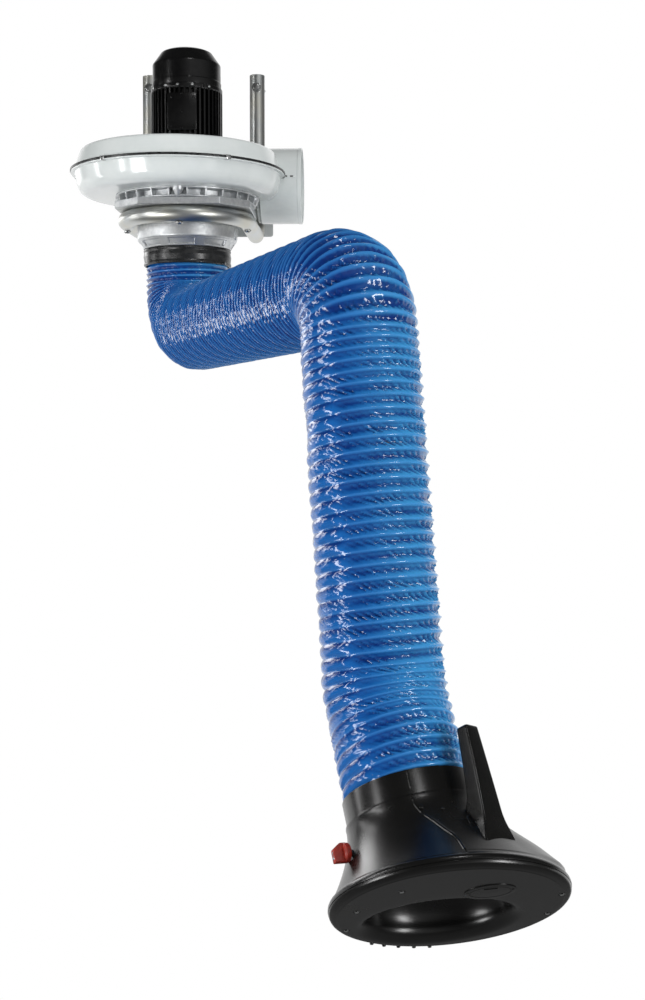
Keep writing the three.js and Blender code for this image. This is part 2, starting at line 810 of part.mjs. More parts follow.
const boxFront = finR * Math.cos(finTurn) + (FIN_THICK / 2) * Math.sin(finTurn) + SEAT;
const boxBottom = motorBottom + BOX_RISE;
const boxTop = boxBottom + BOX_HEIGHT;
const glandR = GLAND_DIAMETER / 2;
const glandZ = boxBottom - SEAT;

function terminalBox() {
  const half = BOX_WIDTH / 2;
  const body = block(-half, half, boxFront, boxFront + BOX_DEPTH, boxBottom, boxTop);
  const hollow = block(
    -half + BOX_WALL,
    half - BOX_WALL,
    boxFront + BOX_WALL,
    boxFront + BOX_DEPTH - BOX_WALL,
    boxBottom + BOX_WALL,
    boxTop + LAP,
  );
  return cut(body, hollow);
}

function terminalLid() {
  const half = BOX_WIDTH / 2;
  const low = boxTop + SEAT;
  return block(-half, half, boxFront, boxFront + BOX_DEPTH, low, low + LID_THICK);
}

add(
  fan,
  "motor_flange",
  ring(shaftGap, MOTOR_FLANGE_DIAMETER / 2, motorFlangeBottom, motorFlangeBottom + MOTOR_FLANGE_THICK),
  MOTOR_BLACK,
);
add(fan, "motor_housing", motorHousing(), MOTOR_BLACK);
add(fan, "motor_end_shield", endShield(), MOTOR_BLACK);
add(fan, "fan_cowl", fanCowl(), MOTOR_BLACK);
add(
  fan,
  "stator_core",
  ring(statorIn, statorOut, coreBottom, coreBottom + CORE_LENGTH, MEDIUM),
  IRON,
);
for (const [name, low] of [
  ["lower", lowBearing],
  ["upper", highBearing],
]) {
  const bearing = ring(around(shaftR + SEAT, SMALL), bearingR, low, low + BEARING_LENGTH, SMALL);
  add(fan, "motor_bearing_" + name, bearing, STEEL);
}
add(fan, "terminal_box", terminalBox(), MOTOR_BLACK);
add(fan, "terminal_lid", terminalLid(), MOTOR_BLACK);
add(
  fan,
  "cable_gland",
  ring(glandR / 2, glandR, glandZ - GLAND_LENGTH, glandZ, SMALL).translate(
    0,
    boxFront + BOX_DEPTH / 2,
    0,
  ),
  ABS,
);

// Rotor: the shaft carries the impeller below, the rotor core, and the cooling fan above
const impellerLow = shellBottom + SHELL_WALL + IMPELLER_GAP;
const impellerHigh = shellTop - SHELL_WALL - IMPELLER_GAP;
const hubR = HUB_DIAMETER / 2;
const hubLow = impellerHigh - HUB_LENGTH;
const shaftLow = hubLow - NUT_HEIGHT;

function impeller() {
  const outer = IMPELLER_DIAMETER / 2;
  const back = ring(around(shaftR + SEAT, ROUND), outer, impellerHigh - IMPELLER_SKIN, impellerHigh);
  const hub = ring(hubBore, hubR, hubLow, impellerHigh - LAP, SMALL);
  const shroud = ring(inletR, outer, impellerLow, impellerLow + IMPELLER_SKIN);
  const half = IMPELLER_SKIN / 2;
  const blades = copies(IMPELLER_BLADES, (angle) => {
    const tip = within(outer, ROUND);
    return block(inletR, tip, -half, half, impellerLow + LAP, impellerHigh - LAP).rotateZ(angle);
  });
  return join(back, hub, shroud, ...blades);
}

function coolingFan() {
  const top = coolingBottom + COOLING_HEIGHT;
  const hubOut = shaftR + COOLING_HUB_WALL;
  const [root, tip] = [within(hubOut, SMALL) - LAP, barrelIn - COOLING_ROOM];
  const half = COOLING_SKIN / 2;
  const hub = ring(hubBore, hubOut, coolingBottom, top, SMALL);
  const disc = ring(root, tip, coolingBottom, coolingBottom + COOLING_SKIN);
  const blades = copies(COOLING_BLADES, (angle) =>
    block(root, within(tip, ROUND), -half, half, coolingBottom + LAP, top).rotateZ(angle),
  );
  return join(hub, disc, ...blades);
}

add(fan, "motor_shaft", rod(shaftR, shaftLow, coolingBottom + COOLING_HEIGHT), STEEL);
add(
  fan,
  "rotor_core",
  ring(around(shaftR + SEAT, MEDIUM), rotorR, coreBottom, coreBottom + CORE_LENGTH, MEDIUM),
  IRON,
);
add(fan, "impeller", impeller(), STEEL);
add(
  fan,
  "impeller_nut",
  ring(
    around(shaftR + SEAT, NUT_SIDES),
    NUT_DIAMETER / 2,
    shaftLow,
    shaftLow + NUT_HEIGHT - SEAT,
    NUT_SIDES,
  ),
  STEEL,
);
add(fan, "cooling_fan", coolingFan(), ABS);

// Arm: +X of this group runs out along the arm's plane, Y is square to it, and the shoulder is its origin
const arm = new THREE.Group();
arm.position.set(0, -REACH, -SHOULDER_DROP);
arm.rotation.z = radians(ARM_AZIMUTH - 90);
object.add(arm);

const upper = new THREE.Group();
upper.rotation.y = radians(UPPER_DROOP);
arm.add(upper);

const lower = new THREE.Group();
lower.position.x = UPPER_ARM;
lower.rotation.y = radians(90 - LOWER_LEAN - UPPER_DROOP);
upper.add(lower);

// Hood: its axis is -Z of this group, and the hood joint is its origin
const hoodMount = new THREE.Group();
hoodMount.position.x = LOWER_ARM;
hoodMount.rotation.y = radians(LOWER_LEAN - HOOD_LEAN - 90);
lower.add(hoodMount);

const hood = new THREE.Group();
hood.rotation.z = radians(90 - HOOD_TURN);
hoodMount.add(hood);

const eyeSteps = 6;
const pinHoleR = around(PIN_DIAMETER / 2 + SEAT, 2 * eyeSteps);
const cheekIn = TONGUE_THICK / 2 + SEAT;
const cheekOut = cheekIn + CHEEK_THICK;

// A plate with a round eye at the origin that runs to +X.
function eyePlate(thick, y) {
  const shape = new THREE.Shape();
  shape.moveTo(EYE_REACH + EYE_LAP, -EYE_RADIUS);
  shape.lineTo(EYE_REACH + EYE_LAP, EYE_RADIUS);
  shape.lineTo(0, EYE_RADIUS);
  shape.absarc(0, 0, EYE_RADIUS, Math.PI / 2, (3 * Math.PI) / 2, false);
  shape.closePath();
  shape.holes.push(new THREE.Path().absarc(0, 0, pinHoleR, 0, 2 * Math.PI, false));
  return extruded(shape, thick, eyeSteps).rotateX(Math.PI / 2).translate(0, y + thick, 0);
}

function tongue() {
  return eyePlate(TONGUE_THICK, -TONGUE_THICK / 2);
}

// Two cheeks with their eyes at the origin, on a block towards -X.
function fork() {
  const cheeks = [eyePlate(CHEEK_THICK, cheekIn), eyePlate(CHEEK_THICK, -cheekOut)];
  const near = EYE_RADIUS + FORK_ROOM;
  const half = BEAM_DIAMETER / 2;
  const root = block(near, EYE_REACH + EYE_LAP, -cheekOut, cheekOut, -half, half);
  return join(root, ...cheeks).rotateY(Math.PI);
}

function beam(length) {
  const bar = rodAlongX(BEAM_DIAMETER / 2, EYE_REACH, length - EYE_REACH, BAR_SIDES);
  return join(bar, tongue(), fork().translate(length, 0, 0));
}

function pin() {
  const inner = cheekOut + SEAT;
  const outer = inner + PIN_HEAD;
  const shank = rodAlongY(PIN_DIAMETER / 2, -outer + LAP, outer - LAP, BAR_SIDES);
  const head = (low, high) => rodAlongY(PIN_HEAD_DIAMETER / 2, low, high, BAR_SIDES);
  return join(shank, head(-outer, -inner), head(inner, outer));
}

// A hub on a beam or post, spokes, and a rim: all about X, from the origin along +X.
function spider(hubIn, hubOut, rimOut) {
  const rim = ring(rimOut - RIM_WALL, rimOut, 0, SPIDER_HEIGHT, MEDIUM);
  const hub = hubIn > 0 ? ring(hubIn, hubOut, 0, SPIDER_HEIGHT, SMALL) : rod(hubOut, 0, SPIDER_HEIGHT);
  const half = SPIDER_SPOKE / 2;
  const [root, tip] = [within(hubOut, SMALL) - LAP, rimOut - RIM_WALL / 2];
  const spokes = copies(SPOKES, (angle) =>
    block(root, tip, -half, half, LAP, SPIDER_HEIGHT - LAP).rotateZ(angle),
  );
  return join(rim, hub, ...spokes).rotateY(Math.PI / 2);
}

function hoseGuide() {
  const hubIn = around(BEAM_DIAMETER / 2 + SEAT, SMALL);
  return spider(hubIn, hubIn + GUIDE_HUB_WALL, boreR - SEAT);
}

// The post hangs from a spider in the spigot down to the shoulder's fork.
function shoulderPost() {
  const top = spigotBottom + SHOULDER_DROP + 2 * LAP;
  const rimOut = within(spigotIn, ROUND) - SEAT;
  const held = spider(0, BEAM_DIAMETER / 2, rimOut).translate(-top - SPIDER_HEIGHT, 0, 0);
  const post = rodAlongX(BEAM_DIAMETER / 2, -top - LAP, -EYE_REACH, BAR_SIDES);
  return join(held, post, fork()).rotateY(Math.PI / 2);
}

add(arm, "shoulder_post", shoulderPost(), ALLOY);
add(arm, "shoulder_pin", pin(), ZINC);
add(upper, "upper_arm_beam", beam(UPPER_ARM), ALLOY);
add(lower, "elbow_pin", pin(), ZINC);
add(lower, "lower_arm_beam", beam(LOWER_ARM), ALLOY);
add(hoodMount, "hood_pin", pin(), ZINC);

const upperGuides = [
  ["inner", SHOULDER_STRETCH + GUIDE_INSET],
  ["outer", UPPER_ARM - ELBOW_STRETCH - GUIDE_INSET],
];
for (const [name, x] of upperGuides) {
  add(upper, "hose_guide_" + name, hoseGuide().translate(x, 0, 0), ABS);
}
add(lower, "hose_guide_lower", hoseGuide().translate(ELBOW_STRETCH + GUIDE_INSET, 0, 0), ABS);

// Hose route in the arm's plane: straight lines and arcs, by the length run along it
class Route {
  constructor(x, z, heading) {
    this.pieces = [];
    this.end = { x, z, heading };
    this.length = 0;
  }

  line(length) {
    return this.piece(length, 0);
  }

  bend(radius, turn) {
    return this.piece(radius * Math.abs(turn), Math.sign(turn) / radius);
  }

  piece(length, curvature) {
    this.pieces.push({ from: this.length, start: this.end, curvature });
    this.length += length;
    this.end = this.at(this.length);
    return this;
  }

  at(run) {
    const { from, start, curvature } = this.pieces.findLast((piece) => piece.from <= run);
    const heading = start.heading + curvature * (run - from);
    if (!curvature) {
      const [x, z] = [Math.cos(heading) * (run - from), Math.sin(heading) * (run - from)];
      return { x: start.x + x, z: start.z + z, heading };
    }
    const x = start.x + (Math.sin(heading) - Math.sin(start.heading)) / curvature;
    const z = start.z - (Math.cos(heading) - Math.cos(start.heading)) / curvature;
    return { x, z, heading };
  }
}

const shoulderTurn = radians(90 - UPPER_DROOP);
const elbowTurn = -radians(90 - LOWER_LEAN - UPPER_DROOP);
const hoodTurn = radians(HOOD_LEAN - LOWER_LEAN);
const tangent = (radius, turn) => radius * Math.tan(Math.abs(turn) / 2);
const shoulderTangent = tangent(BEND_RADIUS, shoulderTurn);
const elbowTangent = tangent(BEND_RADIUS, elbowTurn);
const hoodTangent = tangent(HOOD_BEND_RADIUS, hoodTurn);
const hoseTop = bandTop + SHOULDER_DROP;

const route = new Route(0, hoseTop, -Math.PI / 2);
route.line(hoseTop - shoulderTangent).bend(BEND_RADIUS, shoulderTurn);
const runFromShoulder = route.length - shoulderTangent;
route.line(UPPER_ARM - shoulderTangent - elbowTangent).bend(BEND_RADIUS, elbowTurn);
const runFromElbow = route.length - elbowTangent;
route.line(LOWER_ARM - elbowTangent - hoodTangent).bend(HOOD_BEND_RADIUS, hoodTurn);
const runFromHood = route.length - hoodTangent;
route.line(HOOD_DROP + CUFF_DEPTH - hoodTangent);

function hoseRing(run, radius) {
  const { x, z, heading } = route.at(run);
  const corner = around(radius, HOSE_SIDES);
  return {
    at: new THREE.Vector3(x, 0, z),
    u: new THREE.Vector3(0, corner, 0),
    v: new THREE.Vector3(-Math.sin(heading) * corner, 0, Math.cos(heading) * corner),
  };
}

// A stretch of hose: ribs outside between plain cuffs, and a bore with a ring every few ribs.
function hose(from, to, { cuffBefore = 0, cuffAfter = 0, boreEvery = 5 } = {}) {
  const [start, stop] = [from + SEAT / 2, to - SEAT / 2];
  const [first, last] = [start + cuffBefore, stop - cuffAfter];
  const ribs = Math.round((last - first) / RIB_PITCH);
  const pitch = (last - first) / ribs;
  const [valley, crest] = [boreR + HOSE_SKIN, boreR + HOSE_SKIN + RIB_HEIGHT];
  const outside = [];
  const bore = [hoseRing(start, boreR)];
  if (cuffBefore) {
    outside.push(hoseRing(start, cuffR), hoseRing(first, cuffR));
    bore.push(hoseRing(first, boreR));
  }
  for (let i = 0; i < ribs; i++) {
    outside.push(hoseRing(first + i * pitch, valley), hoseRing(first + (i + 0.5) * pitch, crest));
    if (i > 0 && i % boreEvery === 0) bore.push(hoseRing(first + i * pitch, boreR));
  }
  outside.push(hoseRing(last, valley));
  if (cuffAfter) {
    outside.push(hoseRing(last, cuffR), hoseRing(stop, cuffR));
    bore.push(hoseRing(last, boreR));
  }
  bore.push(hoseRing(stop, boreR));
  return loft([...outside, ...bore.reverse()], HOSE_SIDES);
}

const upperStart = runFromShoulder + SHOULDER_STRETCH;
const upperStop = runFromShoulder + UPPER_ARM - ELBOW_STRETCH;
const lowerStart = runFromElbow + ELBOW_STRETCH;
const lowerStop = runFromElbow + LOWER_ARM - HOOD_STRETCH;
const inBend = 1;

add(arm, "hose_shoulder_bend", hose(0, upperStart, { cuffBefore: BAND_HEIGHT, boreEvery: inBend }), VINYL);
add(arm, "hose_upper_run", hose(upperStart, upperStop), VINYL);
add(arm, "hose_elbow_bend", hose(upperStop, lowerStart, { boreEvery: inBend }), VINYL);
add(arm, "hose_lower_run", hose(lowerStart, lowerStop), VINYL);
add(
  arm,
  "hose_hood_bend",
  hose(lowerStop, route.length, { cuffAfter: CUFF_DEPTH, boreEvery: inBend }),
  VINYL,
);

// Hood collar: the hose's spigot, the spider and tongue that it hangs by, and the flange the hood turns on
const neckTop = -HOOD_DROP;
const neckIn = around(cuffCorner + RUN, ROUND);
const neckOut = neckIn + NECK_WALL;
const ledgeTop = neckTop - CUFF_DEPTH - 2 * SEAT;
const ledgeBottom = ledgeTop - LEDGE_HEIGHT;
const ledgeIn = around(spigotOut + RUN, ROUND);
const collarTop = neckTop + COLLAR_STAND;
const collarStep = ledgeBottom - RUN;
const collarBottom = collarStep - COLLAR_FLANGE;
const collarR = within(neckIn, ROUND) - RUN;

function hoodCollar() {
  const sleeve = turned([
    [spigotIn, collarBottom],
    [collarR, collarBottom],
    [collarR, collarStep],
    [spigotOut, collarStep],
    [spigotOut, collarTop],
    [spigotIn, collarTop],
    [spigotIn, collarBottom],
  ]);
  const reach = -collarTop + 2 * LAP;
  const held = spider(0, BEAM_DIAMETER / 2, spigotIn + LAP).translate(reach, 0, 0);
  const post = rodAlongX(BEAM_DIAMETER / 2, EYE_REACH, reach + LAP, BAR_SIDES);
  return join(sleeve, join(held, post, tongue()).rotateY(Math.PI / 2));
}

add(hoodMount, "hood_collar", hoodCollar(), ABS);

// Hood: the rim has its own middle and lean, and the cone runs from the neck to it
const rimMiddle = new THREE.Vector3(RIM_SHIFT, 0, neckTop - HOOD_LENGTH);
const rimLean = new THREE.Quaternion().setFromEuler(
  new THREE.Euler(-radians(RIM_LEAN_FRONT), radians(RIM_LEAN_SIDE), 0),
);
const rimR = RIM_DIAMETER / 2;
const coneFoot = rimR - RIM_ROLL;
const coneHead = neckOut + NECK_STEP;
const coneStart = ledgeBottom - NECK_STEP;

function level(height, radius) {
  const at = new THREE.Vector3(0, 0, height);
  return { at, u: new THREE.Vector3(radius, 0, 0), v: new THREE.Vector3(0, radius, 0) };
}

// An ellipse in the rim's plane: its height above the face, half-axes, and where its middle lies.
function rimRing(height, width, depth = width, right = 0, back = 0) {
  const at = new THREE.Vector3(right, back, height).applyQuaternion(rimLean).add(rimMiddle);
  const u = new THREE.Vector3(width, 0, 0).applyQuaternion(rimLean);
  const v = new THREE.Vector3(0, depth, 0).applyQuaternion(rimLean);
  return { at, u, v };
}

function between(a, b, share, axes) {
  const at = a.at.clone().lerp(b.at, share);
  return { at, u: a.u.clone().lerp(b.u, axes), v: a.v.clone().lerp(b.v, axes) };
}

// The cone flares slowly at the neck and faster to the rim.
function coneRings(head, foot, steps = 4) {
  const rings = [];
  for (let i = 0; i <= steps; i++) {
    const share = i / steps;
    rings.push(between(head, foot, share, share ** HOOD_FLARE));
  }
  return rings;
}

function coneShell(grow) {
  const head = level(coneStart, coneHead + grow);
  return coneRings(head, rimRing(RIM_HEIGHT + SEAT, coneFoot + grow));
}

function hoodShell() {
  return loft(
    [
      level(neckTop, neckOut),
      level(ledgeBottom, neckOut),
      ...coneShell(0),
      ...coneShell(-HOOD_WALL).reverse(),
      level(collarBottom, neckIn),
      level(ledgeBottom, neckIn),
      level(ledgeBottom, ledgeIn),
      level(ledgeTop, ledgeIn),
      level(ledgeTop, neckIn),
      level(neckTop, neckIn),
    ],
    ROUND,
  );
}

const throatU = THROAT_WIDTH / 2;
const throatV = THROAT_DEPTH / 2;
const throatTop = collarBottom - RUN;

function throatRings(grow) {
  const mouth = rimRing(LIP, throatU + grow, throatV + grow, -THROAT_LEFT, THROAT_BACK);
  return coneRings(level(throatTop, spigotIn + grow), mouth, 3);
}

function hoodFace() {
  const skin = rimR - 2 * RIM_ROLL;
  return loft(
    [
      ...throatRings(FACE_THICK),
      rimRing(FACE_THICK, skin),
      rimRing(RIM_HEIGHT, skin),
      rimRing(RIM_HEIGHT, coneFoot),
      rimRing((RIM_HEIGHT + RIM_BAND) / 2, rimR),
      rimRing((RIM_HEIGHT - RIM_BAND) / 2, rimR),
      rimRing(0, coneFoot),
      rimRing(0, throatU + LIP, throatV + LIP, -THROAT_LEFT, THROAT_BACK),
      ...throatRings(0).reverse(),
    ],
    ROUND,
  );
}

// The hood's outside as a full body, to fit the handle to.
function hoodBody(grow) {
  const cone = coneShell(grow);
  const foot = cone[cone.length - 1].at;
  const zero = new THREE.Vector3();
  return loft(
    [
      { at: new THREE.Vector3(0, 0, neckTop), u: zero, v: zero },
      level(neckTop, neckOut + grow),
      level(ledgeBottom + grow, neckOut + grow),
      ...cone,
      { at: foot, u: zero, v: zero },
    ],
    ROUND,
  );
}

// A bar beside the neck that widens downwards to its foot on the cone.
function handle() {
  const inner = neckOut + HANDLE_GAP;
  const outer = inner + HANDLE_DEPTH;
  const corners = [];
  for (const [width, z] of [
    [HANDLE_TOP_WIDTH, neckTop + HANDLE_RISE],
    [HANDLE_FOOT_WIDTH, neckTop - HANDLE_FOOT],
  ]) {
    for (const r of [inner, outer]) corners.push([r, -width / 2, z], [r, width / 2, z]);
  }
  const bar = geometryOf(wasm.Manifold.hull(corners)).rotateZ(radians(HANDLE_ANGLE));
  return cut(bar, hoodBody(SEAT));
}

function lampCover() {
  const shape = new THREE.Shape();
  shape.absellipse(LAMP_RIGHT, -LAMP_FRONT, LAMP_WIDTH / 2, LAMP_DEPTH / 2, 0, 2 * Math.PI);
  const plate = extruded(shape, LAMP_THICK, 10).translate(0, 0, -LAMP_THICK - SEAT);
  return plate.applyQuaternion(rimLean).translate(rimMiddle.x, rimMiddle.y, rimMiddle.z);
}

// Damper: a spindle across the throat, with its knob outside on the left
const spindleZ = neckTop - DAMPER_DROP;
const spindleR = SPINDLE_DIAMETER / 2;
const spindleHoleR = around(spindleR + SEAT, SMALL);
const damperAngle = radians(DAMPER_TURN);

// How far out from the hood's axis a body reaches at a height, along the damper's spindle.
function reachOf(rings, direction, height) {
  const after = rings.findIndex(({ at }) => at.z < height);
  const [a, b] = [rings[after - 1], rings[after]];
  const share = (a.at.z - height) / (a.at.z - b.at.z);
  const { at, u, v } = between(a, b, share, share);
  const [c, s] = [Math.cos(damperAngle), Math.sin(damperAngle)];
  const axes = 1 / Math.hypot(c / u.length(), s / v.length());
  return axes + direction * (at.x * c + at.y * s);
}

const knobR = KNOB_DIAMETER / 2;
const knobFoot = -reachOf(coneShell(0), -1, spindleZ - knobR) - KNOB_GAP;
const nearThroat = reachOf(throatRings(0), -1, spindleZ);
const farThroat = reachOf(throatRings(0), 1, spindleZ);
const spindleEnd = farThroat + FACE_THICK / 2;
const bladeHalf = Math.min(nearThroat, farThroat) - BLADE_GAP;

function damperPlace(geometry) {
  return geometry.rotateZ(damperAngle).translate(0, 0, spindleZ);
}

function spindleHole() {
  return damperPlace(rodAlongX(spindleHoleR, -2 * rimR, spindleEnd + SEAT));
}

function damperBlade() {
  const shape = new THREE.Shape();
  shape.absellipse(0, 0, bladeHalf, BLADE_WIDTH / 2, 0, 2 * Math.PI);
  const half = BLADE_THICK / 2;
  const plate = extruded(shape, BLADE_THICK, 12).rotateX(Math.PI / 2).translate(0, half, 0);
  const hub = rodAlongX(BLADE_HUB / 2, -bladeHalf / 2, bladeHalf / 2);
  const bore = rodAlongX(spindleHoleR, -2 * bladeHalf, 2 * bladeHalf);
  return damperPlace(cut(join(plate, hub), bore));
}

function damperKnob() {
  const end = knobFoot - KNOB_LENGTH;
  const dial = rodAlongX(knobR, knobFoot - KNOB_DIAL, knobFoot);
  const half = KNOB_BLADE / 2;
  const grip = block(end, knobFoot - LAP, -half, half, -knobR, knobR);
  const bore = rodAlongX(spindleHoleR, knobFoot - KNOB_BORE, knobFoot + LAP);
  return damperPlace(cut(join(dial, grip), bore));
}

const spindle = rodAlongX(spindleR, knobFoot - KNOB_BORE + SEAT, spindleEnd);

add(hood, "hood_shell", cut(hoodShell(), spindleHole()), ABS);
add(hood, "hood_face", cut(hoodFace(), spindleHole()), ABS);
add(hood, "hood_handle", handle(), ABS);
add(hood, "lamp_cover", lampCover(), ABS);
add(hood, "damper_spindle", damperPlace(spindle), STEEL);
add(hood, "damper_blade", damperBlade(), STEEL);
add(hood, "damper_knob", damperKnob(), RED);

export default object;
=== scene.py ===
"""Fume extraction arm: every piece that shows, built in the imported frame, in metres."""

import json
import math
from typing import NamedTuple

import bmesh
import bpy
import numpy as np
from bpy.props import FloatProperty, FloatVectorProperty, IntProperty, PointerProperty
from mathutils import Matrix, Vector


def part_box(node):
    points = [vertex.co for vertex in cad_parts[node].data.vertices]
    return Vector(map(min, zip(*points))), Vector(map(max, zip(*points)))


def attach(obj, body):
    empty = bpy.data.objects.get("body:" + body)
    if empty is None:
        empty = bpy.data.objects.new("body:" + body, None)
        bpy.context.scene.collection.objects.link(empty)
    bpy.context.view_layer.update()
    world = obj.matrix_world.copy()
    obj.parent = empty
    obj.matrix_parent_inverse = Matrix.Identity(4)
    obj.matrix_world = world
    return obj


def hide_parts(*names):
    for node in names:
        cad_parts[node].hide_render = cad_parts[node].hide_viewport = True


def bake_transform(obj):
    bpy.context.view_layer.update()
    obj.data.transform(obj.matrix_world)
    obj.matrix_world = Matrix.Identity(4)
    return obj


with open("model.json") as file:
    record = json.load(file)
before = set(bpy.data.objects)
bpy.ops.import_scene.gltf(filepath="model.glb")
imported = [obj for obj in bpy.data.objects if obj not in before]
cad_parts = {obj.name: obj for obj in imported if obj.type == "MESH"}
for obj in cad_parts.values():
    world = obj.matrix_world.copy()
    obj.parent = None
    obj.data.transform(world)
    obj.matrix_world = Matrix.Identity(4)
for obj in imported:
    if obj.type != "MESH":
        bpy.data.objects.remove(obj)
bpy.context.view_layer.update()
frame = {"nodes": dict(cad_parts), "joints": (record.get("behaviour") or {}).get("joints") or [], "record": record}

bl_info = {
    "name": "Fume extraction arm",
    "version": (1, 0, 0),
    "blender": (4, 5, 0),
    "location": "View3D > Sidebar > Extraction arm",
    "description": "Builds the pieces that show of a wall-mounted fume extraction arm",
    "category": "Object",
}

MM = 0.001
ROUND = 160  # sides of a turned piece
SHARP = math.radians(32)  # edges that turn more than this stay sharp
UP = Vector((0, 0, 1))
FRONT = Vector((0, -1, 0))
STANDING = Matrix.Rotation(math.radians(90), 4, "X")  # stands a prism up: its outline's y becomes z


# Finishes


class Finish(NamedTuple):
    """A finish: sRGB colours, sizes of its patterns in millimetres, and how it takes light."""

    colour: str
    tint: str  # colour of its patches
    patch: float  # width of the patches
    grain: float  # width of the grain
    height: float  # height of the grain
    rough: float
    spread: float  # how far the roughness varies
    metal: float = 0.0
    coat: float = 0.0


# Grain finer than about a millimetre is drawn a millimetre wide, because it wouldn't show otherwise.
FINISHES = {
    # Zinc on drawn steel: soft satin metal, faintly mottled by a slightly yellow film.
    "steel_zinc_plated_passivated": Finish("#c3c7c8", "#c8c7be", 60, 3.0, 0.001, 0.36, 0.03, metal=1),
    # Zinc on small fasteners: smoother than the tube, so that each head has a small glint.
    "steel_zinc_plated_fastener": Finish("#c9cbcc", "#b3b4b2", 8, 0.8, 0.006, 0.24, 0.05, metal=1),
    # Die-cast aluminium: pale grey metal with a fine pebbled skin that breaks up reflections.
    "aluminium_die_cast": Finish("#dcdedf", "#c6c9cb", 12, 1.2, 0.030, 0.50, 0.07, metal=1),
    # Turned aluminium: a little paler than the casting, with a finer skin and the same soft shine.
    "aluminium_turned": Finish("#dfe1e2", "#cfd2d4", 9, 1.0, 0.016, 0.50, 0.07, metal=1),
    # Extruded aluminium: satin metal of the beams inside the hose.
    "aluminium_extruded_satin": Finish("#b4b7b9", "#a5a9ab", 20, 1.5, 0.010, 0.40, 0.06, metal=1),
    # Gloss enamel on pressed steel: smooth pale coat with faint orange peel and clear reflections.
    "steel_stove_enamelled_gloss": Finish("#dde2e1", "#d6dcdb", 60, 4.0, 0.010, 0.16, 0.04, coat=0.35),
    # Gloss paint on cast iron: deep black with small highlights and faint orange peel.
    "iron_cast_gloss_painted": Finish("#050506", "#080808", 12, 2.0, 0.012, 0.22, 0.04),
    # Powder coat on a steel plate: flat grey with a dull sheen.
    "steel_powder_coated_grey": Finish("#c3c6c5", "#b9bdbc", 25, 1.2, 0.020, 0.48, 0.06),
    # Moulded rubber: near black with a soft sheen where it is stretched, and faint flow marks.
    "rubber_moulded_black": Finish("#1a1b1c", "#232425", 10, 1.4, 0.050, 0.30, 0.07),
    # Injection-moulded satin ABS: near black with a soft grey sheen and a fine spark-eroded texture.
    "abs_injection_moulded_satin": Finish("#090909", "#0d0d0c", 70, 0.9, 0.008, 0.25, 0.03),
    # Moulded red ABS of the knob: brick red with a soft highlight.
    "abs_injection_moulded_red": Finish("#a02a1c", "#8a2417", 9, 0.8, 0.020, 0.42, 0.06),
    # Bare rolled steel of the damper's blade and spindle and of the shaft: plain grey metal.
    "steel_cold_rolled": Finish("#9a9da0", "#86898c", 12, 1.0, 0.010, 0.35, 0.08, metal=1),
    # Stacked laminations of stator and rotor: dark dull metal.
    "iron_laminated_oiled": Finish("#5a5552", "#4a4644", 8, 1.0, 0.030, 0.58, 0.08, metal=1),
    # Moulded black nylon of guides, collar and bearing: dull black.
    "nylon_moulded_black": Finish("#1b1b1b", "#242424", 15, 1.0, 0.020, 0.50, 0.07),
}


# Sizes and colours


def linear(code):
    """The linear colour of an sRGB hex code."""
    levels = [int(code[i : i + 2], 16) / 255 for i in (1, 3, 5)]
    return tuple(c / 12.92 if c <= 0.04045 else ((c + 0.055) / 1.055) ** 2.4 for c in levels)


def length(name, millimetres, description):
    """A length that a user can change, given in millimetres."""
    return FloatProperty(name=name, description=description, default=millimetres * MM, min=0.0, unit="LENGTH")


def degrees(name, value, description):
    """An angle that a user can change, in degrees."""
    return FloatProperty(name=name, description=description + ", in degrees", default=value)


def colour(name, code, description):
    """A colour that a user can change, given as an sRGB hex code."""
    shown = {"name": name, "description": description, "subtype": "COLOR"}
    return FloatVectorProperty(default=linear(code), min=0.0, max=1.0, **shown)


class BracketSizes(bpy.types.PropertyGroup):
    """Wall plate, bent tube and its screws."""

    plate_width: length("Plate width", 330, "Width of the wall plate")
    plate_height: length("Plate height", 100, "Height of the wall plate")
    plate_thick: length("Plate thickness", 5, "Thickness of the wall plate")
    tube_radius: length("Tube radius", 17.5, "Outside radius of the bent tube")
    tube_wall: length("Tube wall", 2.5, "Wall of the bent tube")
    tube_bend: length("Bend radius", 55, "Radius of the bends from upright to leg")
    leg_drop: length("Leg drop", 57, "Wall plate's middle down to the legs")
    upright_top: length("Upright height", 317, "Wall plate's middle up to the ends of the uprights")
    left_toe: length("Left toe", 11, "Left upright in from its end of the loop")
    loop_radius: length("Loop radius", 130, "Radius of the loop round the swivel")
    plate_paint: colour("Plate paint", FINISHES["steel_powder_coated_grey"].colour, "Paint of the wall plate")


class SwivelSizes(bpy.types.PropertyGroup):
    """Carrier plate, cast ring, swivel ring, cone and band."""

    carrier_half: length("Carrier half width", 142, "Half width of the carrier plate")
    carrier_cut: length("Carrier corner", 57, "Cut corners of the carrier plate")
    ring_radius: length("Ring radius", 106.5, "Outside radius of the swivel ring")
    bore_radius: length("Bore", 80, "Inside radius of the swivel")
    web_count: IntProperty(name="Webs", description="Webs of the cast ring", default=24, min=4)
    slot_count: IntProperty(name="Slots", description="Slots round the cone", default=8, min=2)
    rubber: colour("Band rubber", FINISHES["rubber_moulded_black"].colour, "Rubber of the hose's band")


class FanSizes(bpy.types.PropertyGroup):
    """Fan casing and outlet."""

    radius: length("Casing radius", 220, "Radius of the fan casing")
    corner: length("Corner", 43.2, "Rounded bottom corner of the casing")
    outlet_radius: length("Outlet radius", 82.5, "Outside radius of the outlet")
    outlet_back: length("Outlet back", 120, "Fan's axis back to the outlet's axis")
    outlet_drop: length("Outlet drop", 5.3, "Casing's seal down to the outlet's axis")
    outlet_start: length("Outlet start", 151, "Wall plate's middle right to the start of the round outlet")
    enamel: colour("Enamel", FINISHES["steel_stove_enamelled_gloss"].colour, "Enamel of the casing")


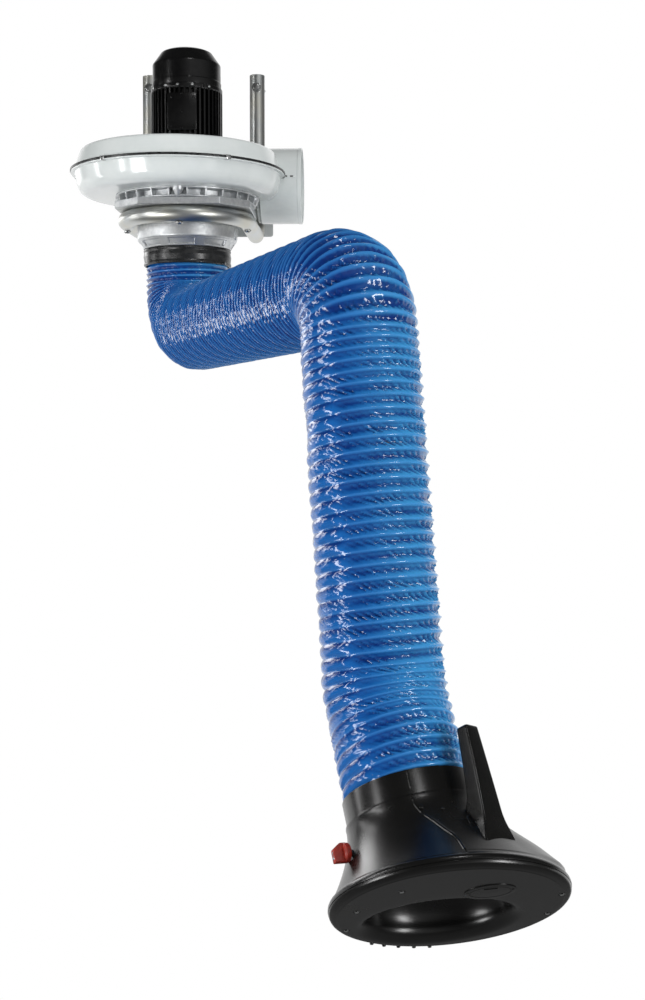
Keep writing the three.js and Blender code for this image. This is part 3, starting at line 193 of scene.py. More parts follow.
class MotorSizes(bpy.types.PropertyGroup):
    """Motor on top of the fan."""

    barrel: length("Barrel radius", 66, "Radius of the motor's barrel")
    fins: length("Fin radius", 76, "Radius over the cooling fins")
    fin_count: IntProperty(name="Fins", description="Fins round the barrel", default=44, min=8)
    cowl: length("Cowl radius", 72.5, "Radius of the fan cowl")
    cowl_top: length("Cowl top", 50, "Radius of the cowl's flat top")
    cowl_slope: length("Cowl slope", 30, "Height of the cowl's sloped edge")
    paint: colour("Motor paint", FINISHES["iron_cast_gloss_painted"].colour, "Paint of the motor")


class HoseSizes(bpy.types.PropertyGroup):
    """Ribbed hose from the band to the hood."""

    crest: length("Crest radius", 89, "Radius over the wire")
    sag: length("Sag", 7.5, "How far taut skin sinks between the turns of wire")
    bulge: length("Bulge", 7.0, "How far slack skin swells between the turns of wire")
    crease: length("Crease", 4.6, "Height of the creases in the skin")
    crease_long: length("Crease length", 13, "Length of the creases round the hose")
    bend: length("Bend radius", 98, "Middle radius of the shoulder's and the elbow's bend")
    hood_bend: length("Hood bend radius", 220, "Middle radius of the bend at the hood")
    cuff: length("Cuff", 30, "Length of hose inside the hood's neck")
    pitch_band: length("Pitch at the band", 11, "Wire pitch just under the band")
    pitch_upper: length("Pitch of the upper run", 17, "Wire pitch along the upper arm")
    pitch_elbow: length("Pitch at the elbow", 13, "Wire pitch round the elbow")
    pitch_lower: length("Pitch of the lower run", 20, "Wire pitch along the lower arm")
    skin: colour("Hose skin", "#1964b0", "Colour of the hose's skin")


class HoodSizes(bpy.types.PropertyGroup):
    """Hood with its rim, throat, handle and lamp blank."""

    neck: length("Neck radius", 92.5, "Outside radius of the neck")
    neck_drop: length("Neck drop", 140, "Hood joint to the top of the neck")
    shoulder_drop: length("Shoulder drop", 174.6, "Hood joint to the foot of the neck")
    step: length("Step", 2.5, "Cone's top past the neck")
    rim_radius: length("Rim radius", 162, "Radius over the rolled rim")
    rim_height: length("Rim height", 20, "Height of the rolled rim")
    rim_roll: length("Rim roll", 6, "Rolled rim past the cone's foot")
    rim_drop: length("Rim drop", 309, "Hood joint to the rim's middle")
    rim_shift: length("Rim shift", 19, "Rim's middle, right of the neck's axis")
    lean_front: degrees("Lean to the front", 4.2, "Rim's lean to the front")
    lean_side: degrees("Lean to the side", 6.2, "Rim's lean to the side")
    throat_width: length("Throat width", 190, "Width of the oval throat")
    throat_depth: length("Throat depth", 150, "Depth of the oval throat")
    throat_left: length("Throat left", 14, "Throat's middle, left of the rim's")
    throat_back: length("Throat back", 45, "Throat's middle, behind the rim's")
    funnel_drop: length("Funnel drop", 179.8, "Hood joint to the top of the funnel in the throat")
    funnel_radius: length("Funnel radius", 76.7, "Radius of the funnel's top")
    lip: length("Throat lip", 20, "Radius of the rounded lip round the throat")
    swell: length("Lamp swelling", 11, "How far the cone swells out over the lamp's place")
    swell_angle: degrees("Swelling's angle", -6, "Angle of the swelling round the hood")
    handle_angle: degrees("Handle's angle", -42, "Angle of the handle's top round the hood")
    handle_rise: length("Handle rise", 45, "Handle's top above the neck")
    handle_foot: length("Handle foot", 120, "Handle's foot below the neck's top")
    handle_gap: length("Handle gap", 19, "Room for fingers beside the neck")
    handle_depth: length("Handle depth", 18.5, "Depth of the handle at its top")
    handle_taper: length("Handle taper", 10.5, "Depth that the handle gains down to its foot")
    lamp_width: length("Lamp blank width", 68, "Width of the oval lamp blank")
    lamp_depth: length("Lamp blank depth", 52, "Depth of the oval lamp blank")
    lamp_right: length("Lamp blank right", 49, "Lamp blank's middle, right of the rim's")
    lamp_front: length("Lamp blank front", 60, "Lamp blank's middle, in front of the rim's")
    shell: colour("Hood plastic", FINISHES["abs_injection_moulded_satin"].colour, "Plastic of the hood")
    knob: colour("Knob plastic", FINISHES["abs_injection_moulded_red"].colour, "Plastic of the damper's knob")


class StageSizes(bpy.types.PropertyGroup):
    """Camera, floor and lamps."""

    focal: FloatProperty(name="Focal length", description="Camera lens in millimetres", default=50.4)
    floor_drop: length("Floor", 2300, "Wall plate's middle down to the floor")
    backdrop: colour("Backdrop", "#ffffff", "Colour of the floor and the background")


class ArmSettings(bpy.types.PropertyGroup):
    """All sizes and colours of the arm."""

    bracket: PointerProperty(type=BracketSizes)
    swivel: PointerProperty(type=SwivelSizes)
    fan: PointerProperty(type=FanSizes)
    motor: PointerProperty(type=MotorSizes)
    hose: PointerProperty(type=HoseSizes)
    hood: PointerProperty(type=HoodSizes)
    stage: PointerProperty(type=StageSizes)


# Places in the frame

JOINTS = {joint["name"]: joint for joint in frame["joints"]}


def joint_at(name):
    return Vector(JOINTS[name]["pos_m"])


def joint_axis(name):
    return Vector(JOINTS[name]["axis"]).normalized()


FAN_AXIS = joint_at("arm_swivel")
AT_FAN = Matrix.Translation((FAN_AXIS.x, FAN_AXIS.y, 0))
ARM_SIDE = -joint_axis("shoulder")
DAMPER_TURN = math.radians(25)  # damper's knob, forward from the hood's left side


def hood_place():
    """The hood's frame: origin at its joint, Z back up its axis, X to its right."""
    axis = joint_axis("hood_turn")
    right = Matrix.Rotation(-DAMPER_TURN, 3, axis) @ joint_axis("damper")
    ahead = axis.cross(right)
    turn = Matrix((right, ahead, axis)).transposed().to_4x4()
    return Matrix.Translation(joint_at("hood_tilt")) @ turn


AT_HOOD = hood_place()


# Shapes. A shape is its points, as an array of rows, and its faces, as lists of point numbers.


def loft(rings, closed=False, caps=False):
    """A skin over rings of equal point counts; closed joins the last ring to the first."""
    rings = np.asarray(rings, float)
    rows, columns = rings.shape[:2]
    row = np.arange(rows if closed else rows - 1)[:, None]
    column = np.arange(columns)[None, :]
    below, above = row * columns, ((row + 1) % rows) * columns
    right = (column + 1) % columns
    faces = np.stack([below + column, below + right, above + right, above + column], -1)
    faces = faces.reshape(-1, 4).tolist()
    if caps:
        faces.append(list(range(columns))[::-1])
        faces.append(list(range((rows - 1) * columns, rows * columns)))
    return rings.reshape(-1, 3), faces


def rounded(corners, steps=5):
    """A closed outline with each corner (x, y, radius) rounded."""
    made = []
    count = len(corners)
    for i, (x, y, radius) in enumerate(corners):
        here = Vector((x, y))
        before = Vector(corners[i - 1][:2]) - here
        after = Vector(corners[(i + 1) % count][:2]) - here
        if radius <= 0:
            made.append(here)
            continue
        half = before.angle(after) / 2
        reach = min(radius / math.tan(half), before.length * 0.49, after.length * 0.49)
        start = here + before.normalized() * reach
        stop = here + after.normalized() * reach
        for k in range(steps + 1):
            t = k / steps
            made.append(start * (1 - t) ** 2 + here * (2 * t * (1 - t)) + stop * t**2)
    return made


def near(radius, height, *corners):
    """Corners of an outline, as millimetres out and up from a radius and a height, and rounding."""
    return [(radius + out * MM, height + up * MM, edge * MM) for out, up, edge in corners]


def circle(count):
    """Cosines and sines of equal angles round a circle."""
    angles = np.arange(count) * 2 * math.pi / count
    return np.cos(angles), np.sin(angles)


def level_ring(radius, height, count=ROUND):
    """A level ring of points about Z; the radius may change round it."""
    c, s = circle(count)
    return np.stack([radius * c, radius * s, np.full(count, height)], -1)


def lathe(corners, count=ROUND, shape=None):
    """Turns a closed outline of (radius, height, rounding) about Z; shape may move the points."""
    rings = np.array([level_ring(p.x, p.y, count) for p in rounded(corners)])
    return loft(shape(rings) if shape else rings, closed=True)


def prism(outline, low, high, bevel, steps=3):
    """An outline pushed up from low to high; a bevel above 0 rounds its edges."""
    mesh = bmesh.new()
    face = mesh.faces.new([mesh.verts.new((p[0], p[1], low)) for p in outline])
    made = bmesh.ops.extrude_face_region(mesh, geom=[face])["geom"]
    risen = [g for g in made if isinstance(g, bmesh.types.BMVert)]
    bmesh.ops.translate(mesh, verts=risen, vec=(0, 0, high - low))
    bmesh.ops.recalc_face_normals(mesh, faces=mesh.faces)
    edges = [e for e in mesh.edges if e.calc_face_angle(0) > SHARP]
    if bevel > 0:
        bmesh.ops.bevel(mesh, geom=edges, offset=bevel, segments=steps, profile=0.5, affect="EDGES")
    mesh.verts.index_update()
    points = np.array([v.co for v in mesh.verts])
    faces = [[v.index for v in f.verts] for f in mesh.faces]
    mesh.free()
    return points, faces


def hexagon(radius):
    return list(zip(*(radius * side for side in circle(6))))


def box(x0, x1, y0, y1, z0, z1, bevel, steps=2):
    return prism([(x0, y0), (x1, y0), (x1, y1), (x0, y1)], z0, z1, bevel, steps)


def around(path, count):
    """A path as an array, and unit circles across it that don't twist along it."""
    points = np.asarray(path, float)
    along = np.gradient(points, axis=0)
    along /= np.linalg.norm(along, axis=1)[:, None]
    last = Vector(along[0])
    side = last.orthogonal().normalized()
    sides = []
    for step in along:
        heading = Vector(step)
        side = last.rotation_difference(heading) @ side
        last = heading
        sides.append(side.copy())
    u = np.array(sides)
    v = np.cross(along, u)
    c, s = circle(count)
    return points, u[:, None, :] * c[None, :, None] + v[:, None, :] * s[None, :, None]


def moved(shape, matrix):
    points, faces = shape
    matrix = np.array(matrix)
    return np.asarray(points) @ matrix[:3, :3].T + matrix[:3, 3], faces


def together(*shapes):
    points, faces, count = [], [], 0
    for some, ring in shapes:
        points.append(np.asarray(some))
        faces += [[count + i for i in face] for face in ring]
        count += len(some)
    return np.concatenate(points), faces


def about_z(angle):
    """A turn about Z by an angle in degrees."""
    return Matrix.Rotation(math.radians(angle), 4, "Z")


def ray(angle):
    """The level direction at an angle in degrees from X."""
    return Vector((math.cos(math.radians(angle)), math.sin(math.radians(angle)), 0))


def facing(at, outward, roll=0.0):
    """A place at a point with its Z along a direction."""
    turn = Vector(outward).to_track_quat("Z", "Y").to_matrix().to_4x4()
    return Matrix.Translation(at) @ turn @ Matrix.Rotation(roll, 4, "Z")


def copies(shape, count, start=0.0):
    """Copies of a shape at equal angles round Z, from an angle in degrees."""
    return [moved(shape, about_z(start + 360 * i / count)) for i in range(count)]


def hex_screw(radius, height):
    """A hexagon head on a washer, standing on Z = 0."""
    wide, thick = radius * 1.35, height * 0.25
    washer = [(0, 0, 0), (wide, 0, 0.2 * MM), (wide, thick, 0.4 * MM), (0, thick, 0)]
    return together(lathe(washer, 40), prism(hexagon(radius), thick, height, radius * 0.1))


def pan_screw(radius, height):
    """A domed head with a raised cross for its recess, standing on Z = 0."""
    dome = [(0, 0, 0), (radius, 0, 0), (radius, height * 0.4, radius * 0.3)]
    dome += [(radius * 0.55, height, radius * 0.4), (0, height, 0)]
    bar, thin = radius * 0.5, radius * 0.12
    low, high = height * 0.8, height * 1.02
    cross = [box(-x, x, -y, y, low, high, thin * 0.3) for x, y in ((bar, thin), (thin, bar))]
    return together(lathe(dome, 32), *cross)


def piece(name, shape, material, body, hides=(), matrix=None):
    """Makes the object of a shape, with clean shading, on the body that it rides on."""
    points, faces = moved(shape, matrix) if matrix is not None else shape
    mesh = bpy.data.meshes.new(name)
    mesh.from_pydata(np.asarray(points).tolist(), [], faces)
    work = bmesh.new()
    work.from_mesh(mesh)
    bmesh.ops.remove_doubles(work, verts=work.verts, dist=1e-6)
    bmesh.ops.dissolve_degenerate(work, edges=work.edges, dist=1e-7)
    bmesh.ops.recalc_face_normals(work, faces=work.faces)
    work.to_mesh(mesh)
    work.free()
    mesh.shade_smooth()
    mesh.set_sharp_from_angle(angle=SHARP)
    made = bpy.data.objects.new(name, mesh)
    bpy.context.scene.collection.objects.link(made)
    mesh.materials.append(material)
    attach(made, body)
    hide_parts(*hides)
    return made


# Materials


def node(tree, kind, fields=None, inputs=None, links=None):
    """Adds a shader node, sets its fields and inputs, and links its inputs."""
    made = tree.nodes.new(kind)
    for name, value in (fields or {}).items():
        setattr(made, name, value)
    for name, value in (inputs or {}).items():
        made.inputs[name].default_value = value
    for name, socket in (links or {}).items():
        tree.links.new(socket, made.inputs[name])
    return made


RGBA = {"data_type": "RGBA"}
FLOAT = {"data_type": "FLOAT"}
SMOOTH = {"interpolation_type": "SMOOTHSTEP"}
LARGER = {"operation": "MAXIMUM"}
PRODUCT = {"operation": "MULTIPLY"}
TOWARD = {"operation": "DOT_PRODUCT"}


def empty_material(name):
    """A new material with no nodes, and its node tree."""
    made = bpy.data.materials.new(name)
    made.use_nodes = True
    made.node_tree.nodes.clear()
    return made, made.node_tree


def finish(name, colour=None):
    """The named finish as a node material; colour takes the place of its own."""
    found = bpy.data.materials.get(name)
    if found:
        return found
    f = FINISHES[name]
    base = tuple(colour) if colour is not None else linear(f.colour)
    ratio = [t / max(c, 1e-4) for t, c in zip(linear(f.tint), linear(f.colour))]
    second = tuple(min(1.0, b * r) for b, r in zip(base, ratio))
    made, tree = empty_material(name)
    place = {"Vector": node(tree, "ShaderNodeTexCoord").outputs["Object"]}
    size = {"Scale": 1 / (f.patch * MM), "Detail": 4.0, "Roughness": 0.6}
    patches = {"Value": node(tree, "ShaderNodeTexNoise", {}, size, place).outputs["Fac"]}
    share = node(tree, "ShaderNodeMapRange", {}, {"From Min": 0.35, "From Max": 0.65}, patches)
    ends = {6: (*base, 1), 7: (*second, 1)}
    tone = node(tree, "ShaderNodeMix", RGBA, ends, {0: share.outputs["Result"]})
    ends = {"From Min": 0.3, "From Max": 0.7, "To Min": f.rough - f.spread, "To Max": f.rough + f.spread}
    rough = node(tree, "ShaderNodeMapRange", {}, ends, patches)
    size = {"Scale": 1 / (f.grain * MM), "Detail": 3.0, "Roughness": 0.55}
    grain = node(tree, "ShaderNodeTexNoise", {}, size, place)
    size = {"Strength": 1.0, "Distance": f.height * MM}
    bump = node(tree, "ShaderNodeBump", {}, size, {"Height": grain.outputs["Fac"]})
    values = {"Metallic": f.metal, "Coat Weight": f.coat, "Coat Roughness": 0.06}
    links = {"Base Color": tone.outputs[2], "Roughness": rough.outputs["Result"]}
    links["Normal"] = bump.outputs["Normal"]
    shader = node(tree, "ShaderNodeBsdfPrincipled", {}, values, links)
    node(tree, "ShaderNodeOutputMaterial", links={"Surface": shader.outputs["BSDF"]})
    return made


def vinyl(colour):
    """Calendered PVC film on fabric: glossy blue and crumpled, with painted shade in the folds, a paler wire line
    that is partly a painted highlight, and painted light on the right.
    """
    made, tree = empty_material("pvc_film_calendered_gloss")

    def mark(name, output="Fac"):
        return node(tree, "ShaderNodeAttribute", {"attribute_name": name}).outputs[output]

    def times(factors, add=0.0):
        return (*(min(1.0, c * k + add) for c, k in zip(colour, factors)), 1)

    lay = mark("lay", "Vector")
    size = {"Scale": 1 / (45 * MM), "Detail": 3.0}
    patches = node(tree, "ShaderNodeTexNoise", {}, size, {"Vector": lay}).outputs["Fac"]
    # The painted shade in the folds is darker in some patches than in others.
    uneven = node(tree, "ShaderNodeMath", {"operation": "MULTIPLY_ADD"}, {1: 0.6, 2: 0.6}, {0: patches})
    links = {0: uneven.outputs["Value"], 1: mark("painted_shade")}
    shade = node(tree, "ShaderNodeMath", {"operation": "MULTIPLY"}, {}, links)
    # Painted light: the skin is painted lighter and more cyan towards its right side, where more light falls.
    ends = {"From Min": -0.5, "From Max": 0.8}
    light = node(tree, "ShaderNodeMapRange", SMOOTH, ends, {"Value": mark("right")})
    ends = {6: (*colour, 1), 7: times((5.4, 2.6, 1.55))}
    skin = node(tree, "ShaderNodeMix", RGBA, ends, {0: light.outputs["Result"]})
    # Painted shade: the skin darkens towards a deep blue where the shade mark is high.
    links = {0: shade.outputs["Value"], 6: skin.outputs[2]}
    tone = node(tree, "ShaderNodeMix", RGBA, {7: times((0.13, 0.20, 0.40))}, links)
    # The wire's line is paler: partly the wire under the thin film, partly a painted highlight along it.
    links = {0: mark("crest"), 6: tone.outputs[2]}
    wire = node(tree, "ShaderNodeMix", RGBA, {7: times((1.7, 1.35, 1.15), 0.03)}, links)
    # Fine creases of the film, about 24 mm long and half as wide.
    flat = node(tree, "ShaderNodeMapping", {}, {"Scale": (1, 1, 2)}, {"Vector": lay})
    size = {"Scale": 1 / (24 * MM), "Detail": 1.0, "Roughness": 0.4, "Distortion": 0.4}
    kind = {"noise_type": "RIDGED_MULTIFRACTAL"}
    crumple = node(tree, "ShaderNodeTexNoise", kind, size, {"Vector": flat.outputs["Vector"]})
    size = {"Strength": 0.5, "Distance": 0.35 * MM}
    bump = node(tree, "ShaderNodeBump", {}, size, {"Height": crumple.outputs["Fac"]})
    ends = {"From Min": 0.3, "From Max": 0.7, "To Min": 0.10, "To Max": 0.16}
    rough = node(tree, "ShaderNodeMapRange", {}, ends, {"Value": patches})
    links = {"Base Color": wire.outputs[2], "Roughness": rough.outputs["Result"]}
    links["Normal"] = bump.outputs["Normal"]
    shader = node(tree, "ShaderNodeBsdfPrincipled", {}, {"IOR": 1.53}, links)
    node(tree, "ShaderNodeOutputMaterial", links={"Surface": shader.outputs["BSDF"]})
    return made


# Bracket


def bracket_path(s):
    """The tube's middle line: left upright, leg, loop, leg, right upright."""
    y = -(s.plate_thick + 0.3 * MM + s.tube_radius)
    z = -s.leg_drop
    left, right = -s.loop_radius + s.left_toe, s.loop_radius
    turns = [math.pi / 2 * i / 14 for i in range(15)]

    def bend(x, a):
        return (x, y - s.tube_bend + s.tube_bend * math.cos(a), z + s.tube_bend * (1 - math.sin(a)))

    def upright(x):
        drop = s.upright_top - (z + s.tube_bend)
        return [(x, y, s.upright_top - drop * i / 12) for i in range(12)]

    path = upright(left) + [bend(left, a) for a in turns]
    for i in range(61):
        a = math.pi * (1 + i / 60)
        path.append((s.loop_radius * math.cos(a), FAN_AXIS.y + s.loop_radius * math.sin(a), z))
    path += [bend(right, a) for a in reversed(turns)] + upright(right)[::-1]
    return path, left, right, y


class ARM_OT_bracket(bpy.types.Operator):
    """Builds the wall plate, the bent tube and its screws"""

    bl_idname = "arm.bracket"
    bl_label = "Bracket"

    def execute(self, context):
        s = context.scene.extraction_arm.bracket
        bright = finish("steel_zinc_plated_fastener")
        path, left, right, y = bracket_path(s)
        self.tube(s, path)
        self.plate(s)
        self.screws((("left", left), ("right", right)), y - s.tube_radius, bright)
        self.spare_holes(s, right, y, bright)
        return {"FINISHED"}

    @staticmethod
    def tube(s, path):
        """The bent tube, with rounded ends and an open bore that shows from above."""
        points, ring = around(path, 48)
        inner, outer = s.tube_radius - s.tube_wall, s.tube_radius
        last = len(points) - 1
        deep = 3  # points of the path that the bore goes down
        edge = 0.5 * MM
        down = points[1] - points[0]
        down = down / np.linalg.norm(down) * edge
        rings = [points[i] + ring[i] * inner for i in range(deep, -1, -1)]
        rings.append(points[0] + ring[0] * (outer - edge))
        rings.append(points[0] + down + ring[0] * outer)
        rings += [points[i] + ring[i] * outer for i in range(1, last)]
        rings.append(points[last] + down + ring[last] * outer)
        rings.append(points[last] + ring[last] * (outer - edge))
        rings += [points[i] + ring[i] * inner for i in range(last, last - deep - 1, -1)]
        zinc = finish("steel_zinc_plated_passivated")
        piece("bracket_bent_tube", loft(rings), zinc, "bracket", ["bracket_tube"])

    @staticmethod
    def plate(s):
        """The wall plate behind the legs."""
        half, tall, corner = s.plate_width / 2, s.plate_height / 2, 7 * MM
        signs = ((-1, -1), (1, -1), (1, 1), (-1, 1))
        outline = rounded([(x * half, z * tall, corner) for x, z in signs])
        plate = prism(outline, 0, s.plate_thick, 0.8 * MM)
        grey = finish("steel_powder_coated_grey", s.plate_paint)
        piece("wall_plate_cover", plate, grey, "bracket", ["wall_plate"], STANDING)

    @staticmethod
    def screws(sides, front, bright):
        """Hexagon heads on the uprights and legs, and domed heads under the loop."""
        for name, x in sides:
            for kind in ("upright_screw", "leg_bolt"):
                low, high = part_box(f"{kind}_{name}")
                at = facing((x, front - 0.1 * MM, (low.z + high.z) / 2), FRONT, 0.35)
                head = hex_screw(8 * MM, 5.2 * MM)
                piece(f"{kind}_head_{name}", head, bright, "bracket", [f"{kind}_{name}"], at)
        for name in ("left", "front", "right"):
            low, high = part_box(f"loop_screw_{name}")
            middle = (low + high) / 2
            at = facing((middle.x, middle.y, low.z + 5 * MM), -UP, 0.2)
            head = pan_screw(8 * MM, 5 * MM)
            piece(f"loop_screw_head_{name}", head, bright, "bracket", [f"loop_screw_{name}"], at)

    @staticmethod
    def spare_holes(s, right, y, bright):
        """Rims of two spare holes beside the right leg's bolt."""
        rim = lathe(near(0, 0, (2.2, 0, 0), (3.6, 0, 0.2), (3.6, 0.7, 0.3), (2.2, 0.7, 0.3)), 24)
        holes = []
        for side, z in ((-9, 38), (9, 44)):
            angle = math.asin(side * MM / s.tube_radius)
            out = Vector((math.sin(angle), -math.cos(angle), 0))
            at = Vector((right, y, z * MM)) + out * (s.tube_radius - 0.2 * MM)
            holes.append(moved(rim, facing(at, out)))
        piece("leg_hole_rims", together(*holes), bright, "bracket")


# Swivel


def carrier_outline(half, cut):
    """A square with cut corners, as points about 6 mm apart."""
    flat = half - cut
    corners = [(half, -flat), (half, flat), (flat, half), (-flat, half)]
    corners += [(-half, flat), (-half, -flat), (-flat, -half), (flat, -half)]
    outline = rounded([(x, y, 4 * MM) for x, y in corners], 4)
    made = []
    for i, here in enumerate(outline):
        after = outline[(i + 1) % len(outline)]
        steps = max(1, int((after - here).length / (6 * MM)))
        made += [here.lerp(after, k / steps) for k in range(steps)]
    return np.array([(p.x, p.y) for p in made])


def bored_plate(outline, bore, low, high, bevel):
    """A plate with slanted edges and a round bore about Z."""
    radius = np.linalg.norm(outline, axis=1)[:, None]
    hole, small = outline / radius * bore, outline * (1 - bevel / radius)
    rows = [(hole, low), (small, low), (outline, low + bevel)]
    rows += [(outline, high - bevel), (small, high), (hole, high)]
    return loft([np.concatenate([flat, np.full((len(flat), 1), z)], 1) for flat, z in rows], closed=True)


class ARM_OT_swivel(bpy.types.Operator):
    """Builds the carrier plate, the cast ring, the swivel ring, its cone and the band"""

    bl_idname = "arm.swivel"
    bl_label = "Swivel"

    def execute(self, context):
        s = context.scene.extraction_arm.swivel
        cast, turned = finish("aluminium_die_cast"), finish("aluminium_turned")
        low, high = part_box("hose_band")
        band_r = (high.x - low.x) / 2
        self.carrier(s, cast)
        self.cast_ring(s, cast)
        self.ring(s, turned)
        self.cone(s, band_r, turned)
        self.band(s, band_r, low.z, high.z)
        return {"FINISHED"}

    @staticmethod
    def carrier(s, cast):
        """The square plate with cut corners, and a moulding mark on its front edge."""
        low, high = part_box("carrier_plate")
        outline = carrier_outline(s.carrier_half, s.carrier_cut)
        plate = bored_plate(outline, s.ring_radius - 7 * MM, low.z, high.z, 1.2 * MM)
        y, z = -s.carrier_half, low.z
        mark = box(-1.5 * MM, 1.5 * MM, y - 0.6 * MM, y + 2 * MM, z - 0.4 * MM, z + 6 * MM, 0.4 * MM)
        piece("carrier_casting", together(plate, mark), cast, "bracket", ["carrier_plate"], AT_FAN)

    @staticmethod
    def cast_ring(s, cast):
        """Two flanges joined by a wall, with webs and screw bosses round it."""
        low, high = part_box("cast_ring")
        outer = (high.x - low.x) / 2
        wall_in, wall_out = outer - 39 * MM, outer - 21 * MM
        thin = 3.2  # thickness of the flanges in millimetres
        outline = near(wall_in, low.z, (0, 0, 0.6)) + near(outer, low.z, (-5, 0, 0.8), (-5, thin, 1))
        outline += near(wall_out, low.z, (0, thin, 2)) + near(wall_out, high.z, (0, -thin, 2))
        outline += near(outer, high.z, (0, -thin, 1), (0, 0, 0.6)) + near(wall_in, high.z, (0, 0, 0.6))

        foot, head, root = low.z + 1 * MM, high.z - 1 * MM, wall_out - 2 * MM
        side = [(root, foot), (outer - 6.5 * MM, foot), (outer - 2.5 * MM, head), (root, head)]
        web = moved(prism(side, -1.9 * MM, 1.9 * MM, 0.7 * MM), STANDING)

        stub = near(0, high.z, (0, 0, 0), (13, 0, 0.5), (11.5, -8, 2))
        stub += near(0, low.z, (6, 1.5, 1.5), (3, -0.5, 1), (0, -0.5, 0))
        boss = moved(lathe(stub, 32), Matrix.Translation((outer - 9 * MM, 0, 0)))
        webs = copies(web, s.web_count, 180 / s.web_count)
        ribbed = together(lathe(outline), *webs, *copies(boss, 4))
        piece("cast_ring_ribbed", ribbed, cast, "bracket", ["cast_ring"], AT_FAN)

    @staticmethod
    def ring(s, turned):
        """The smooth ring that turns under the carrier, with two lugs."""
        low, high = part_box("swivel_sleeve")
        r, bore, top = s.ring_radius, s.bore_radius, low.z + 29 * MM
        outline = near(bore, low.z, (0, 0, 0.4)) + near(r, low.z, (-1, 0, 0.8), (0, 3, 1))
        outline += near(r, top, (0, 0, 2.2), (-8.5, 0, 2)) + near(r, high.z, (-8.5, 0, 0.6))
        outline += near(bore, high.z, (0, 0, 0.4))
        lug = box(r - 6 * MM, r + 3 * MM, -5 * MM, 5 * MM, low.z + 1 * MM, top - 2 * MM, 1.2 * MM)
        whole = together(lathe(outline), *copies(lug, 2, -8))
        piece("swivel_ring", whole, turned, "swivel", ["swivel_sleeve"], AT_FAN)

    @staticmethod
    def cone(s, band_r, turned):
        """The cone, with slots sunk into its outside between upright lands, and its spigot."""
        low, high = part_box("swivel_cone")
        foot = high.z - 18 * MM
        head_r, spigot = s.ring_radius - 1 * MM, s.bore_radius - 0.3 * MM
        count, rows, deep = 720, 26, 4.5 * MM
        # Each slot takes 0.72 of its share of the way round, and 0.66 of the cone's height.
        share = (np.arange(count) * s.slot_count / count + 0.5) % 1.0
        inside = np.clip((0.36 - np.abs(share - 0.5)) / 0.012, 0, 1)
        rings = []
        for t in np.linspace(0, 1, rows + 1):
            sunk = deep * inside * np.clip((0.33 - abs(t - 0.52)) / 0.035, 0, 1)
            radius, height = head_r + (band_r - head_r) * t, high.z + (foot - high.z) * t
            rings.append(level_ring(radius - sunk, height, count))
        bore = spigot - 3 * MM
        for radius, height in ((spigot, foot), (spigot, low.z), (bore, low.z), (bore, high.z)):
            rings.append(level_ring(radius, height, count))
        whole = loft(rings, closed=True)
        piece("swivel_cone_slotted", whole, turned, "swivel", ["swivel_cone"], AT_FAN)

    @staticmethod
    def band(s, band_r, low, high):
        """The rubber band round the hose's end, with a tab and its screw."""
        inner = band_r - 4.5 * MM

        def slack(rings):
            """Slow waves round the band, so that it looks stretched over the hose."""
            angle = np.arctan2(rings[..., 1], rings[..., 0])
            z = (rings[..., 2] - low) / (high - low)
            radius = np.hypot(rings[..., 0], rings[..., 1])
            wave = 0.5 * np.sin(5 * angle + 4 * z) + 0.35 * np.sin(9 * angle - 7 * z + 1)
            swell = 1 + np.where(radius > inner + 1 * MM, wave * 0.6 * MM, 0) / radius
            return np.stack([rings[..., 0] * swell, rings[..., 1] * swell, rings[..., 2]], -1)

        outline = near(inner, low, (0, 0, 0.5)) + near(band_r, low, (-1.5, 0, 1), (0.6, 2, 1.2))
        outline += near(band_r, low, (0.2, 5, 1.5), (-0.9, 8, 3))
        outline += near(band_r, low + (high - low) * 0.55, (0.6, 0, 9))
        outline += near(band_r, high, (-0.8, -8, 3), (0.3, -4.5, 1.5), (-0.4, -0.6, 1.2))
        outline += near(inner, high, (0, 0, 0.5))
        turn = -28
        tab = box(band_r - 2 * MM, band_r + 4.5 * MM, -7 * MM, 7 * MM, low, low + 6 * MM, 1.2 * MM)
        whole = together(lathe(outline, 200, slack), moved(tab, about_z(turn)))
        rubber = finish("rubber_moulded_black", s.rubber)
        piece("hose_band_rubber", whole, rubber, "swivel", ["hose_band"], AT_FAN)
        at = AT_FAN @ facing(ray(turn) * (band_r + 4.3 * MM) + UP * (low + 3 * MM), ray(turn))
        bright = finish("steel_zinc_plated_fastener")
        piece("hose_band_screw", pan_screw(2.6 * MM, 2 * MM), bright, "swivel", matrix=at)


# Fan


class FanForm:
    """Heights and places of the casing, its seal and its outlet."""

    def __init__(self, s):
        self.low, self.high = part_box("fan_lower_shell")[0].z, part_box("fan_upper_shell")[1].z
        start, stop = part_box("casing_seal")
        self.seal_low, self.seal_high = start.z, stop.z
        self.seam = (start.z + stop.z) / 2
        self.flange = (stop.x - start.x) / 2
        self.x = start.x + self.flange
        self.at = Matrix.Translation((self.x, FAN_AXIS.y, 0))
        self.outlet_y = FAN_AXIS.y + s.outlet_back
        self.outlet_z = start.z - s.outlet_drop


def horn_section(x, y0, y1, z0, z1, rounding, count=96):
    """A rounded box section across the outlet's horn, as equal steps round it."""
    corners = [(y1, z0), (y1, z1), (y0, z1), (y0, z0)]
    shape = rounded([(y, z, rounding) for y, z in corners], 12)
    flat = np.array([(p.x, p.y) for p in shape] + [tuple(shape[0])])
    run = np.concatenate([[0], np.cumsum(np.linalg.norm(np.diff(flat, axis=0), axis=1))])
    where = np.linspace(0, run[-1], count, endpoint=False)
    y, z = np.interp(where, run, flat[:, 0]), np.interp(where, run, flat[:, 1])
    return np.stack([np.full(count, x), y, z], -1)


